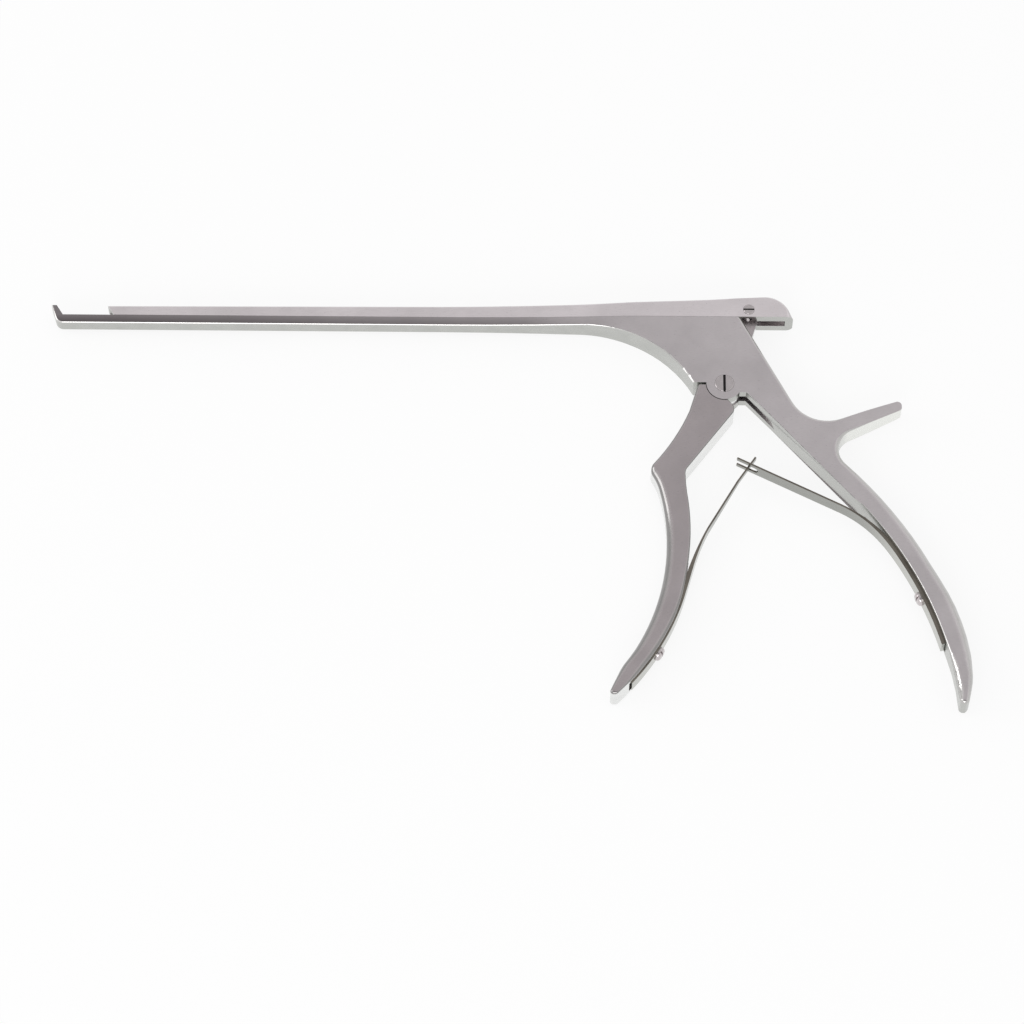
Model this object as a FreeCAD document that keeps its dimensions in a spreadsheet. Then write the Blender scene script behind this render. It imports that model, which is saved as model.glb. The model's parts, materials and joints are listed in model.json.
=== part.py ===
import FreeCAD, Part
import math
import os
import re
import Sketcher

# Bone rongeur of the sliding-shaft kind. It lies on its far side: X runs along the shaft towards
# the handles, Y towards the top of the slide, Z out of the side that is seen.
# The pivot axis of the handles is X = 0, Y = 0, and the far side faces are at Z = 0.

os.makedirs("parts", exist_ok=True)
doc = FreeCAD.newDocument("bone_rongeur")
sheet = doc.addObject("Spreadsheet::Sheet", "Sizes")

SIZES = [
    # overall
    ("thickness", 8.6, "head and handles, far side to near side"),
    ("reach", 210.2, "pivot axis to the front of the foot plate"),
    ("seam", 23.7, "height of the sliding face above the pivot"),
    ("slide_gap", 0.04, "clearance under the slide"),
    # shaft
    ("shaft_width", 5.0, "width of the slim shaft"),
    ("base_height", 2.8, "lower half of the shaft"),
    ("slide_height", 3.3, "upper half of the shaft"),
    ("flare_start", 88.0, "pivot to where the shaft begins to widen"),
    ("flare_end", 24.0, "pivot to where the shaft is as wide as the head"),
    ("flare_share", 0.85, "share of the flare that bends outwards, the rest bends back"),
    # jaw
    ("jaw_opening", 16.0, "travel of the slide"),
    ("jaw_angle", 32.0, "lean of both cutting faces, degrees"),
    ("foot_land", 1.6, "thickness of the foot plate at its top"),
    ("foot_back_angle", 17.8, "lean of the outside of the foot plate, degrees"),
    ("foot_heel", 2.5, "rounding under the foot plate"),
    ("cup_width", 3.5, "hollow of the cutting edge, across"),
    ("cup_height", 2.2, "hollow of the cutting edge, up"),
    ("cup_depth", 6.5, "hollow of the cutting edge, back from the front"),
    ("cup_floor", 0.45, "metal under the hollow"),
    ("cup_round", 0.9, "rounding inside the hollow"),
    # head of the frame
    ("head_back", 5.4, "rear top corner of the frame"),
    ("front_curve", 40.0, "big curve from the shaft down to the pivot"),
    ("front_corner", 9.6, "front lower corner of the frame, ahead of the pivot"),
    ("front_corner_rise", 0.3, "that corner above the pivot"),
    ("boss_radius", 5.6, "round boss about the pivot"),
    ("notch_back", 6.7, "where the rear handle leaves the boss, behind the pivot"),
    ("notch_drop", 3.1, "that corner below the pivot"),
    # spur
    ("crotch_back", 25.9, "corner of the head and the spur"),
    ("crotch_drop", 15.35, "that corner below the pivot"),
    ("crotch_radius", 12.0, "rounding of that corner"),
    ("spur_back", 54.9, "tip of the spur behind the pivot"),
    ("spur_top_drop", 4.6, "top of the spur's tip below the pivot"),
    ("spur_low_drop", 7.9, "underside of the spur's tip below the pivot"),
    ("spur_root_drop", 20.5, "root of the spur on the back curve, below the pivot"),
    ("spur_root_radius", 7.0, "rounding under the spur"),
    ("spur_tip_radius", 1.3, "corners of the spur's tip"),
    ("spur_tip_width", 5.0, "thickness of the spur at its tip"),
    ("spur_taper_start", 34.0, "where the spur begins to thin"),
    # rear grip
    ("rear_back_across", -49.0, "centre of the back curve, along X"),
    ("rear_back_up", -117.1, "centre of the back curve, along Y"),
    ("rear_back_radius", 124.5, "back curve"),
    ("rear_front_across", -51.1, "centre of the front curve, along X"),
    ("rear_front_up", -119.2, "centre of the front curve, along Y"),
    ("rear_front_radius", 120.0, "front curve"),
    ("rear_bottom", 108.2, "end of the rear grip below the pivot"),
    ("rear_nose_drop", 97.5, "where the back curve begins to close on the tip, below the pivot"),
    ("rear_nose_ease", 30.0, "easing there"),
    ("rear_tip_back", 71.7, "back corner of the tip, behind the pivot"),
    ("rear_heel_radius", 1.8, "rounding of that corner"),
    ("rear_toe_radius", 1.3, "rounding of the front corner of the tip"),
    # moving handle
    ("shoulder_gap", 0.25, "clearance of the shoulder round the boss"),
    ("shoulder_front", 8.3, "front top corner of the arm, ahead of the pivot"),
    ("shoulder_drop", 0.5, "top of the shoulder below the pivot"),
    ("arm_front_across", 11.0, "front edge of the arm, ahead of the pivot"),
    ("arm_front_drop", 9.5, "that point below the pivot"),
    ("knee_across", 23.6, "knee ahead of the pivot"),
    ("knee_drop", 29.6, "knee below the pivot"),
    ("knee_radius", 3.2, "rounding of the knee"),
    ("arm_bend_radius", 70.0, "hollow in the front edge of the arm"),
    ("arm_back_top", 1.3, "back of the arm on the boss, behind the pivot"),
    ("arm_back_top_drop", 5.9, "that point below the pivot"),
    ("arm_back_across", 3.6, "back corner of the arm, behind the pivot"),
    ("arm_back_drop", 8.7, "that corner below the pivot"),
    ("arm_back_radius", 2.6, "rounding of that corner"),
    ("knee_run", 4.5, "from the knee down to the finger curve"),
    ("knee_ease", 18.0, "easing into the finger curve"),
    ("elbow_drop", 30.6, "inner bend of the moving handle, below the pivot"),
    ("elbow_radius", 3.0, "rounding of that bend"),
    ("front_out_across", -90.3, "centre of the finger curve, along X"),
    ("front_out_up", -54.0, "centre of the finger curve, along Y"),
    ("front_out_radius", 72.0, "finger curve"),
    ("front_in_across", -88.8, "centre of the inner curve, along X"),
    ("front_in_up", -50.0, "centre of the inner curve, along Y"),
    ("front_in_radius", 78.6, "inner curve"),
    ("front_bottom", 106.0, "end of the moving grip below the pivot"),
    ("front_nose_drop", 96.5, "where the finger curve begins to close on the tip, below the pivot"),
    ("front_nose_ease", 20.0, "easing there"),
    ("front_tip_ahead", 36.2, "front corner of the tip, ahead of the pivot"),
    ("front_heel_radius", 1.5, "rounding of the inner corner of the tip"),
    ("front_toe_radius", 1.0, "rounding of its front corner"),
    # lever
    ("slot_width", 3.0, "slots for the lever in the frame and the slide"),
    ("lever_thickness", 2.8, "flat lever of the moving handle"),
    ("lever_half_width", 3.4, "half the width of the lever"),
    ("lever_hub", 5.2, "round of the lever about the pivot"),
    ("lever_end", 29.0, "end of the lever from the pivot"),
    ("lever_slot_start", 24.6, "bottom of the slot for the drive screw, from the pivot"),
    ("drive_height", 26.3, "drive screw above the pivot"),
    ("drive_clearance", 0.2, "play of the drive screw in the lever, each side"),
    ("slot_front_low", 6.2, "front wall of the frame's slot at the pivot"),
    ("slot_front_top", 11.6, "front wall of the frame's slot at the seam"),
    ("slot_back_low", 6.4, "back wall of the frame's slot at the pivot"),
    ("slot_back_top", 9.9, "back wall of the frame's slot where it opens behind"),
    ("slot_back_rise", 15.6, "that place above the pivot"),
    ("slit_across", 16.2, "lower end of the slit in the rear handle"),
    ("slit_drop", 14.6, "that end below the pivot"),
    ("slit_depth", 8.6, "inner end of the slit, behind the pivot"),
    ("slide_slot_ahead", 6.8, "front of the slide's slot, ahead of the drive screw"),
    ("slide_slot_behind", 11.4, "back of the slide's slot, behind the drive screw"),
    ("slide_slot_rise", 29.3, "top of the slide's slot above the pivot"),
    ("slide_slot_half", 4.4, "half the length of the slot's top"),
    ("slide_slot_front_rise", 26.6, "top of the slot at its front"),
    ("slide_slot_rear_rise", 25.5, "top of the slot at its rear"),
    ("relief_behind", 2.2, "back of the relief, behind the drive screw"),
    ("relief_ahead", 8.4, "front of the relief, ahead of the drive screw"),
    ("relief_width", 6.4, "relief in the underside of the slide"),
    ("relief_depth", 1.0, "depth of that relief"),
    # slide
    ("slide_back", 21.9, "rear lower corner of the slide, behind the pivot"),
    ("slide_rear_lean", 62.5, "rear slope of the slide, degrees"),
    ("slide_rise", 5.5, "slope of the top of the slide, degrees"),
    ("slide_rise_start", 47.6, "where the top begins to climb, ahead of the pivot"),
    ("slide_rise_radius", 430.0, "easing of that climb"),
    ("slide_crown", 8.0, "rounding of the rear top corner"),
    ("slide_end_round", 2.6, "rounding of the rear end seen from above"),
    # T slots and keys
    ("key_neck", 1.3, "neck of each T key"),
    ("key_head", 2.5, "head of each T key"),
    ("key_neck_height", 0.5, "neck of each T key, height"),
    ("key_head_height", 0.7, "head of each T key, height"),
    ("key_gap", 0.06, "clearance of a key in its slot"),
    ("key_length", 8.0, "length of each T key"),
    ("front_key", 170.0, "front end of the front key, ahead of the pivot"),
    ("rear_key", 44.0, "front end of the rear key, ahead of the pivot"),
    ("window_lead", 0.8, "slot left between a resting key and its window"),
    # screws
    ("pivot_head", 5.9, "pivot screw head"),
    ("pivot_head_height", 1.7, "pivot screw head, height"),
    ("pivot_shank", 4.0, "pivot screw shank"),
    ("pivot_tail", 3.2, "pivot screw tail in the far cheek"),
    ("drive_head", 3.4, "drive screw head"),
    ("drive_head_height", 1.1, "drive screw head, height"),
    ("drive_shank", 2.6, "drive screw shank"),
    ("drive_tail", 2.0, "drive screw tail in the far cheek"),
    ("head_proud", 0.2, "screw heads above the near side"),
    ("tail_recess", 0.25, "screw tails short of the far side"),
    ("fit_gap", 0.05, "radial clearance of a pin in its hole"),
    ("pivot_drive_slot", 0.8, "slot across the pivot screw head"),
    ("drive_drive_slot", 0.5, "slot across the drive screw head"),
    ("screw_slot_depth", 0.7, "depth of both slots"),
    ("leaf_screw_head", 4.4, "leaf screw head"),
    ("leaf_screw_dome", 1.3, "leaf screw head, height"),
    ("leaf_screw_shank", 1.9, "leaf screw shank"),
    ("leaf_screw_length", 3.0, "leaf screw in the handle"),
    ("leaf_screw_slot", 0.5, "slot across the leaf screw head"),
    ("leaf_screw_seat", 0.03, "under the head, over the curved leaf"),
    # leaf springs
    ("leaf_thickness", 1.0, "leaf springs"),
    ("leaf_width", 5.0, "leaf springs, across"),
    ("leaf_sink", 1.05, "depth of the groove for a leaf"),
    ("leaf_side_gap", 0.1, "clearance beside a leaf in its groove"),
    ("groove_margin", 0.6, "groove beyond the foot of a leaf"),
    ("leaf_gap", 0.03, "under a leaf in its groove"),
    ("rear_leaf_foot", 88.0, "foot of the rear leaf below the pivot"),
    ("rear_leaf_leave", 57.0, "where the rear leaf leaves the handle, below the pivot"),
    ("rear_leaf_bend", 42.0, "bend of the rear leaf"),
    ("rear_leaf_lean", 26.9, "lean of its straight end, degrees"),
    ("rear_leaf_run", 35.2, "length of its straight end"),
    ("rear_groove_top", 43.0, "top of its groove below the pivot"),
    ("rear_screw_drop", 71.5, "rear leaf screw below the pivot"),
    ("front_leaf_foot", 101.5, "foot of the front leaf below the pivot"),
    ("front_leaf_leave", 70.0, "where the front leaf leaves the handle, below the pivot"),
    ("front_leaf_bend", 78.0, "bend of the front leaf"),
    ("front_leaf_lean", 59.0, "lean of its straight end, degrees"),
    ("front_leaf_run", 29.2, "length of its straight end"),
    ("front_groove_top", 59.0, "top of its groove below the pivot"),
    ("front_screw_drop", 90.5, "front leaf screw below the pivot"),
    ("fork_slot", 2.4, "slot of the forked tip"),
    ("fork_depth", 6.4, "depth of the fork along the shaft's direction"),
    ("tongue_width", 1.8, "tongue that passes through the fork"),
    ("tongue_start", 33.0, "where the tongue is at its full slimness, below the pivot"),
    ("taper_start", 62.0, "where the front leaf begins to narrow, below the pivot"),
    # edges
    ("fine_edge", 0.3, "break of the crisp edges"),
    ("shaft_edge", 0.5, "rounding along the lower shaft"),
    ("slide_edge", 0.6, "rounding along the top of the slide"),
    ("slide_rear_edge", 2.0, "rounding round the rear of the slide"),
    ("arm_edge", 0.9, "rounding of the arm's front edges"),
    ("elbow_edge", 0.5, "rounding of the arm's rear edges"),
    ("spur_edge", 1.2, "rounding of the spur and the back"),
    ("grip_edge", 2.2, "rounding of the grips"),
    ("inner_edge", 0.9, "rounding of the moving grip's inner edges"),
    ("tip_edge", 1.2, "rounding of the end of the rear grip"),
    ("front_tip_edge", 0.9, "rounding of the end of the moving grip"),
    ("screw_edge", 0.25, "rounding of the cross screws' heads"),
    ("leaf_screw_round", 1.1, "dome of the leaf screws' heads"),
]

for row, (word, size, note) in enumerate(SIZES, start=1):
    sheet.set("A%d" % row, str(size))
    sheet.setAlias("A%d" % row, word)
    sheet.set("B%d" % row, note)
doc.recompute()

WORDS = {word for word, size, note in SIZES}


def number(text):
    """The value of an expression written with the words of the sheet."""
    return float(sheet.evalExpression(str(text)))


def bound(text):
    """The same expression, as the other objects of the document write it."""
    def reference(found):
        word = found.group()
        return "Sizes." + word if word in WORDS else word

    return re.sub(r"[a-z_]+", reference, str(text))


def new_body(label):
    body = doc.addObject("PartDesign::Body", label)
    body.Label = label
    return body


def new_sketch(body, name, role="XY_Plane", lift="thickness / 2"):
    """A sketch on one of the body's own planes, raised along the plane's normal."""
    sketch = body.newObject("Sketcher::SketchObject", name)
    plane = next(f for f in body.Origin.OriginFeatures if f.Role == role)
    sketch.AttachmentSupport = [(plane, "")]
    sketch.MapMode = "FlatFace"
    sketch.setExpression("AttachmentOffset.Base.z", bound(lift))
    return sketch


def bind(sketch, rules):
    """Add constraints, and tie each that has an expression to the sheet."""
    first = len(sketch.Constraints)
    sketch.addConstraint([rule for rule, expression in rules])
    for place, (rule, expression) in enumerate(rules, start=first):
        if expression is not None:
            sketch.setExpression("Constraints[%d]" % place, bound(expression))


def arc_centre(start, end, radius, turn):
    """Centre of the short arc of this radius, on the left or right of its chord."""
    chord = end - start
    rise = math.sqrt(max(radius**2 - (chord.Length / 2) ** 2, 0.0))
    left = FreeCAD.Vector(-chord.y, chord.x, 0).normalize()
    return (start + end) * 0.5 + left * (rise if turn == "left" else -rise)


def add_side(sketch, start, end, curve):
    """Add one side of an outline and say which of its ends comes first."""
    if curve is None:
        sketch.addGeometry(Part.LineSegment(start, end))
        return 1, 2
    radius = number(curve["radius"])
    if "centre" in curve:
        centre = FreeCAD.Vector(number(curve["centre"][0]), number(curve["centre"][1]), 0)
    else:
        centre = arc_centre(start, end, radius, curve["turn"])
    from_angle = math.atan2(start.y - centre.y, start.x - centre.x)
    to_angle = math.atan2(end.y - centre.y, end.x - centre.x)
    circle = Part.Circle(centre, FreeCAD.Vector(0, 0, 1), radius)
    if curve["turn"] == "left":
        sketch.addGeometry(Part.ArcOfCircle(circle, from_angle, to_angle))
        return 1, 2
    sketch.addGeometry(Part.ArcOfCircle(circle, to_angle, from_angle))
    return 2, 1


def outline(sketch, corners, curves=None, closed=True):
    """Draw an outline. A corner is (x, y, held): held names the coordinates that are fixed,
    and the others follow from the curves. curves gives the arc that leaves a corner."""
    curves = curves or {}
    spots = [FreeCAD.Vector(number(x), number(y), 0) for x, y, held in corners]
    count = len(corners)
    sides = count if closed else count - 1
    first = len(sketch.Geometry)
    ends = []
    for side in range(sides):
        ends.append(add_side(sketch, spots[side], spots[(side + 1) % count], curves.get(side)))
    rules = []
    for side in range(sides):
        before = (side - 1) % count
        if closed or side > 0:
            smooth = curves.get(side, {}).get("smooth_start") or curves.get(before, {}).get("smooth_end")
            kind = "Tangent" if smooth else "Coincident"
            rules.append((Sketcher.Constraint(kind, first + before, ends[before][1],
                                              first + side, ends[side][0]), None))
    for place, (x, y, held) in enumerate(corners):
        side, pos = (place, ends[place][0]) if place < sides else (place - 1, ends[place - 1][1])
        for axis, expression in (("x", x), ("y", y)):
            if axis in held:
                rules.append((Sketcher.Constraint("Distance" + axis.upper(), -1, 1, first + side, pos,
                                                  number(expression)), expression))
    for side, curve in curves.items():
        rules.append((Sketcher.Constraint("Radius", first + side, number(curve["radius"])), curve["radius"]))
        if "centre" in curve:
            for axis, expression in zip("XY", curve["centre"]):
                rules.append((Sketcher.Constraint("Distance" + axis, -1, 1, first + side, 3,
                                                  number(expression)), expression))
    bind(sketch, rules)


def ring(sketch, x, y, diameter):
    """Draw a circle."""
    centre = FreeCAD.Vector(number(x), number(y), 0)
    place = sketch.addGeometry(Part.Circle(centre, FreeCAD.Vector(0, 0, 1), number(diameter) / 2))
    bind(sketch, [
        (Sketcher.Constraint("DistanceX", -1, 1, place, 3, number(x)), x),
        (Sketcher.Constraint("DistanceY", -1, 1, place, 3, number(y)), y),
        (Sketcher.Constraint("Diameter", place, number(diameter)), diameter),
    ])


def box_corners(x_low, x_high, y_low, y_high):
    return [(x_low, y_low, "xy"), (x_high, y_low, "xy"), (x_high, y_high, "xy"), (x_low, y_high, "xy")]


def solid_of(feature):
    """The feature's shape, once it is up to date and known to be sound."""
    doc.recompute()
    if "Invalid" in feature.State or "Error" in feature.State or not feature.isValid():
        raise RuntimeError("%s did not build: %s" % (feature.Name, feature.getStatusString()))
    return feature.Shape


def pad(body, name, sketch, length, symmetric=True):
    feature = body.newObject("PartDesign::Pad", name)
    feature.Profile = sketch
    feature.SideType = "Symmetric" if symmetric else "One side"
    feature.setExpression("Length", bound(length))
    solid_of(feature)
    return feature


def pocket(body, name, sketch, length=None, symmetric=True, reverse=False):
    """Cut a sketch out of the body, through all of it where no length is given."""
    before = body.Shape.Volume
    feature = body.newObject("PartDesign::Pocket", name)
    feature.Profile = sketch
    feature.SideType = "Symmetric" if symmetric else "One side"
    feature.Reversed = reverse
    if length is None:
        feature.Type = "ThroughAll"
    else:
        feature.setExpression("Length", bound(length))
    if solid_of(feature).Volume >= before - 1e-6:
        raise RuntimeError("%s cut nothing" % name)
    return feature


def fillet(body, name, edges, radius):
    feature = body.newObject("PartDesign::Fillet", name)
    feature.Base = (edges[0], edges[1])
    feature.setExpression("Radius", bound(radius))
    solid_of(feature)
    body.Tip = feature
    return feature


def upright_edges(feature, *places):
    """The edges along the thickness that stand at these places, for a rounding."""
    found = []
    for x, y in places:
        def miss(number_and_edge):
            edge = number_and_edge[1]
            tall = edge.BoundBox.ZLength > 1.0 and edge.BoundBox.XLength + edge.BoundBox.YLength < 1e-5
            centre = edge.BoundBox.Center
            return math.hypot(centre.x - x, centre.y - y) if tall else 1e6

        place, edge = min(enumerate(feature.Shape.Edges, start=1), key=miss)
        if miss((place, edge)) > 0.5:
            raise RuntimeError("no upright edge at %.1f, %.1f" % (x, y))
        found.append("Edge%d" % place)
    return feature, found


def curve_across(curve, drop, change="0"):
    """Where a grip's curve stands at a height below the pivot, as an expression."""
    return "%s_across + sqrt((%s_radius + %s) ^ 2 - (-(%s) - %s_up) ^ 2)" % (curve, curve, change, drop, curve)


def curve_of(curve, turn, change="0", **more):
    """An arc on a grip's curve, or beside it."""
    return dict(radius="%s_radius + %s" % (curve, change), centre=(curve + "_across", curve + "_up"),
                turn=turn, **more)


def tangent_spot(x, y, curve):
    """Where the line from a place touches a grip's curve, on the side of the front."""
    centre = FreeCAD.Vector(number(curve + "_across"), number(curve + "_up"), 0)
    radius = number(curve + "_radius")
    reach = FreeCAD.Vector(number(x), number(y), 0) - centre
    angle = math.atan2(reach.y, reach.x) - math.acos(radius / reach.Length)
    return centre.x + radius * math.cos(angle), centre.y + radius * math.sin(angle)


SLIDE_FRONT = "(foot_land - reach + jaw_opening)"
JAW_LEAN = "tan(jaw_angle * 1 deg)"
KEY_TOP = "(seam - key_neck_height)"
KEY_LOW = "(seam - key_neck_height - key_head_height)"
LEVER_LEAN = "atan(jaw_opening / 2 / drive_height)"
DRIVE_ACROSS = "(jaw_opening / 2)"


def slim_the_shaft(body):
    """Cut both sides of the shaft down to its width, with an easy flare into the head."""
    run = "(flare_start - flare_end)"
    rise = "((thickness - shaft_width) / 2)"
    both = "((%s ^ 2 + %s ^ 2) / (2 * %s))" % (run, rise, rise)
    sketch = new_sketch(body, body.Label + "_plan", "XZ_Plane", "0")
    for side, turn, back, outer in (("+", "left", "right", "thickness + 1"), ("-", "right", "left", "-1")):
        flank = "thickness / 2 %s shaft_width / 2" % side
        middle = "%s %s flare_share * %s" % (flank, side, rise)
        edge = "thickness / 2 %s thickness / 2" % side
        outline(sketch, [("-reach - 2", flank, "xy"), ("-flare_start", flank, "xy"),
                         ("flare_share * %s - flare_start" % run, middle, "xy"), ("-flare_end", edge, "xy"),
                         ("-flare_end", outer, "xy"), ("-reach - 2", outer, "xy")],
                {1: dict(radius="flare_share * " + both, turn=turn),
                 2: dict(radius="(1 - flare_share) * " + both, turn=back)})
    return pocket(body, body.Label + "_slim", sketch)


def t_profile(sketch, gap, top):
    """The section of a T key, or of its slot where gap is its clearance."""
    middle = "thickness / 2"
    corners = []
    for side in ("+", "-"):
        neck = "%s %s (key_neck / 2 + %s)" % (middle, side, gap)
        head = "%s %s (key_head / 2 + %s)" % (middle, side, gap)
        half = [(top, neck, "xy"), (KEY_TOP + " + " + gap, neck, "xy"), (KEY_TOP + " + " + gap, head, "xy"),
                (KEY_LOW + " - " + gap, head, "xy")]
        corners += half if side == "+" else half[::-1]
    outline(sketch, corners)


def screw_holes(body, name, x, y, head, head_height, shank, tail):
    """Counterbore, shank and tail holes of a cross screw, from the near side."""
    steps = (("tail", tail, None), ("shank", shank, "thickness / 2 + slot_width / 2"),
             ("bore", head, "%s - head_proud" % head_height))
    for step, diameter, depth in steps:
        sketch = new_sketch(body, "%s_%s_circle" % (name, step), lift="thickness")
        ring(sketch, x, y, diameter + " + 2 * fit_gap")
        pocket(body, "%s_%s_hole" % (name, step), sketch, depth, symmetric=False)


def leaf_groove(body, name, curve, sink, foot, top, outside):
    """Cut the groove that a leaf spring lies in, along a grip's curve."""
    low = "(%s + groove_margin)" % foot
    sketch = new_sketch(body, name + "_outline")
    outline(sketch, [(curve_across(curve, low) + outside, "-" + low, "xy"),
                     (curve_across(curve, low, sink), "-" + low, "y"),
                     (curve_across(curve, top, sink), "-" + top, "y"),
                     (curve_across(curve, top) + outside, "-" + top, "xy")],
            {1: curve_of(curve, "left", sink)})
    return pocket(body, name, sketch, "leaf_width + 2 * leaf_side_gap")


def radial_sketch(body, name, curve, drop, radius, turned):
    """A sketch square to a grip's curve at a screw, facing out of the grip."""
    angle = "asin((-%s - %s_up) / %s_radius)" % (drop, curve, curve)
    sketch = body.newObject("Sketcher::SketchObject", name)
    plane = next(f for f in body.Origin.OriginFeatures if f.Role == "YZ_Plane")
    sketch.AttachmentSupport = [(plane, "")]
    sketch.MapMode = "FlatFace"
    sketch.AttachmentOffset = FreeCAD.Placement(
        FreeCAD.Vector(), FreeCAD.Rotation(FreeCAD.Vector(0, 1, 0), 1.0))
    sketch.setExpression("AttachmentOffset.Base.x", bound("%s_up + %s * sin(%s)" % (curve, radius, angle)))
    sketch.setExpression("AttachmentOffset.Base.y", bound("thickness / 2"))
    sketch.setExpression("AttachmentOffset.Base.z", bound("%s_across + %s * cos(%s)" % (curve, radius, angle)))
    sketch.setExpression("AttachmentOffset.Rotation.Angle", bound("%s + %s" % (turned, angle)))
    return sketch


def soften(body, label, size_at):
    """Round edges with radii that may grow along them. size_at gives the radius for an edge's place,
    or None where the edge stays sharp. A new body carries on from the rounded shape."""
    doc.recompute()
    picked = []
    for place, edge in enumerate(body.Shape.Edges, start=1):
        box = edge.BoundBox
        if box.XLength + box.YLength < 1e-5:
            continue
        first = edge.FirstParameter
        last = edge.LastParameter
        middle = edge.valueAt((first + last) / 2)
        if size_at(middle, middle, box) is not None:
            picked.append((place, size_at(edge.valueAt(first), middle, box),
                           size_at(edge.valueAt(last), middle, box)))
    rounded = doc.addObject("Part::Fillet", label + "_rounded")
    rounded.Base = body
    rounded.Edges = picked
    solid_of(rounded)
    after = new_body(label)
    after.BaseFeature = rounded
    doc.recompute()
    return after


def grow(low, high, share):
    share = min(1.0, max(0.0, share))
    return low + (high - low) * share


def t_slot(body, name, key_front):
    """Cut a T slot, and behind it the window that its key goes in by."""
    rear = "(key_length + window_lead - %s)" % key_front
    sketch = new_sketch(body, name + "_section", "YZ_Plane", rear)
    t_profile(sketch, "key_gap", "seam + 1")
    pocket(body, name, sketch, "key_length + window_lead + jaw_opening + 0.2", symmetric=False)
    half = "(key_head / 2 + key_gap)"
    sketch = new_sketch(body, name + "_window_section", "YZ_Plane", rear + " + key_length + 0.6")
    outline(sketch, box_corners(KEY_LOW + " - key_gap", "seam + 1", "thickness / 2 - " + half,
                                "thickness / 2 + " + half))
    pocket(body, name + "_window", sketch, "key_length + 0.6", symmetric=False)


def frame_edge(spot, middle, box):
    x = spot.x
    drop = -spot.y
    if middle.x < -number("front_corner") - 0.1:
        if box.XLength < 0.01 or (middle.y > number("seam") - 0.2 and middle.x > -208.9) or middle.y > 26.9:
            return None
        return number("shaft_edge")
    if middle.x < number("notch_back") - 0.1 or middle.y > number("seam") - 0.01:
        return None
    if box.XLength < 0.01 and middle.x < number("spur_back") - 1:
        return None
    if drop > number("rear_nose_drop") + 0.5:
        return grow(number("grip_edge"), number("tip_edge"), (drop - number("rear_nose_drop")) / 9)
    ahead = math.hypot(x - number("rear_front_across"), spot.y - number("rear_front_up"))
    straight = x < 39.5 and drop > 3.0 and abs((x - 6.7) * 0.753 + (spot.y + 3.1) * 0.658) < 1.0
    if straight or (drop > 20.5 and ahead < number("rear_front_radius") + 1.5):
        return grow(number("fine_edge"), number("grip_edge"), (drop - 45) / 45)
    return grow(number("spur_edge"), number("grip_edge"), (drop - 60) / 37)


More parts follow.
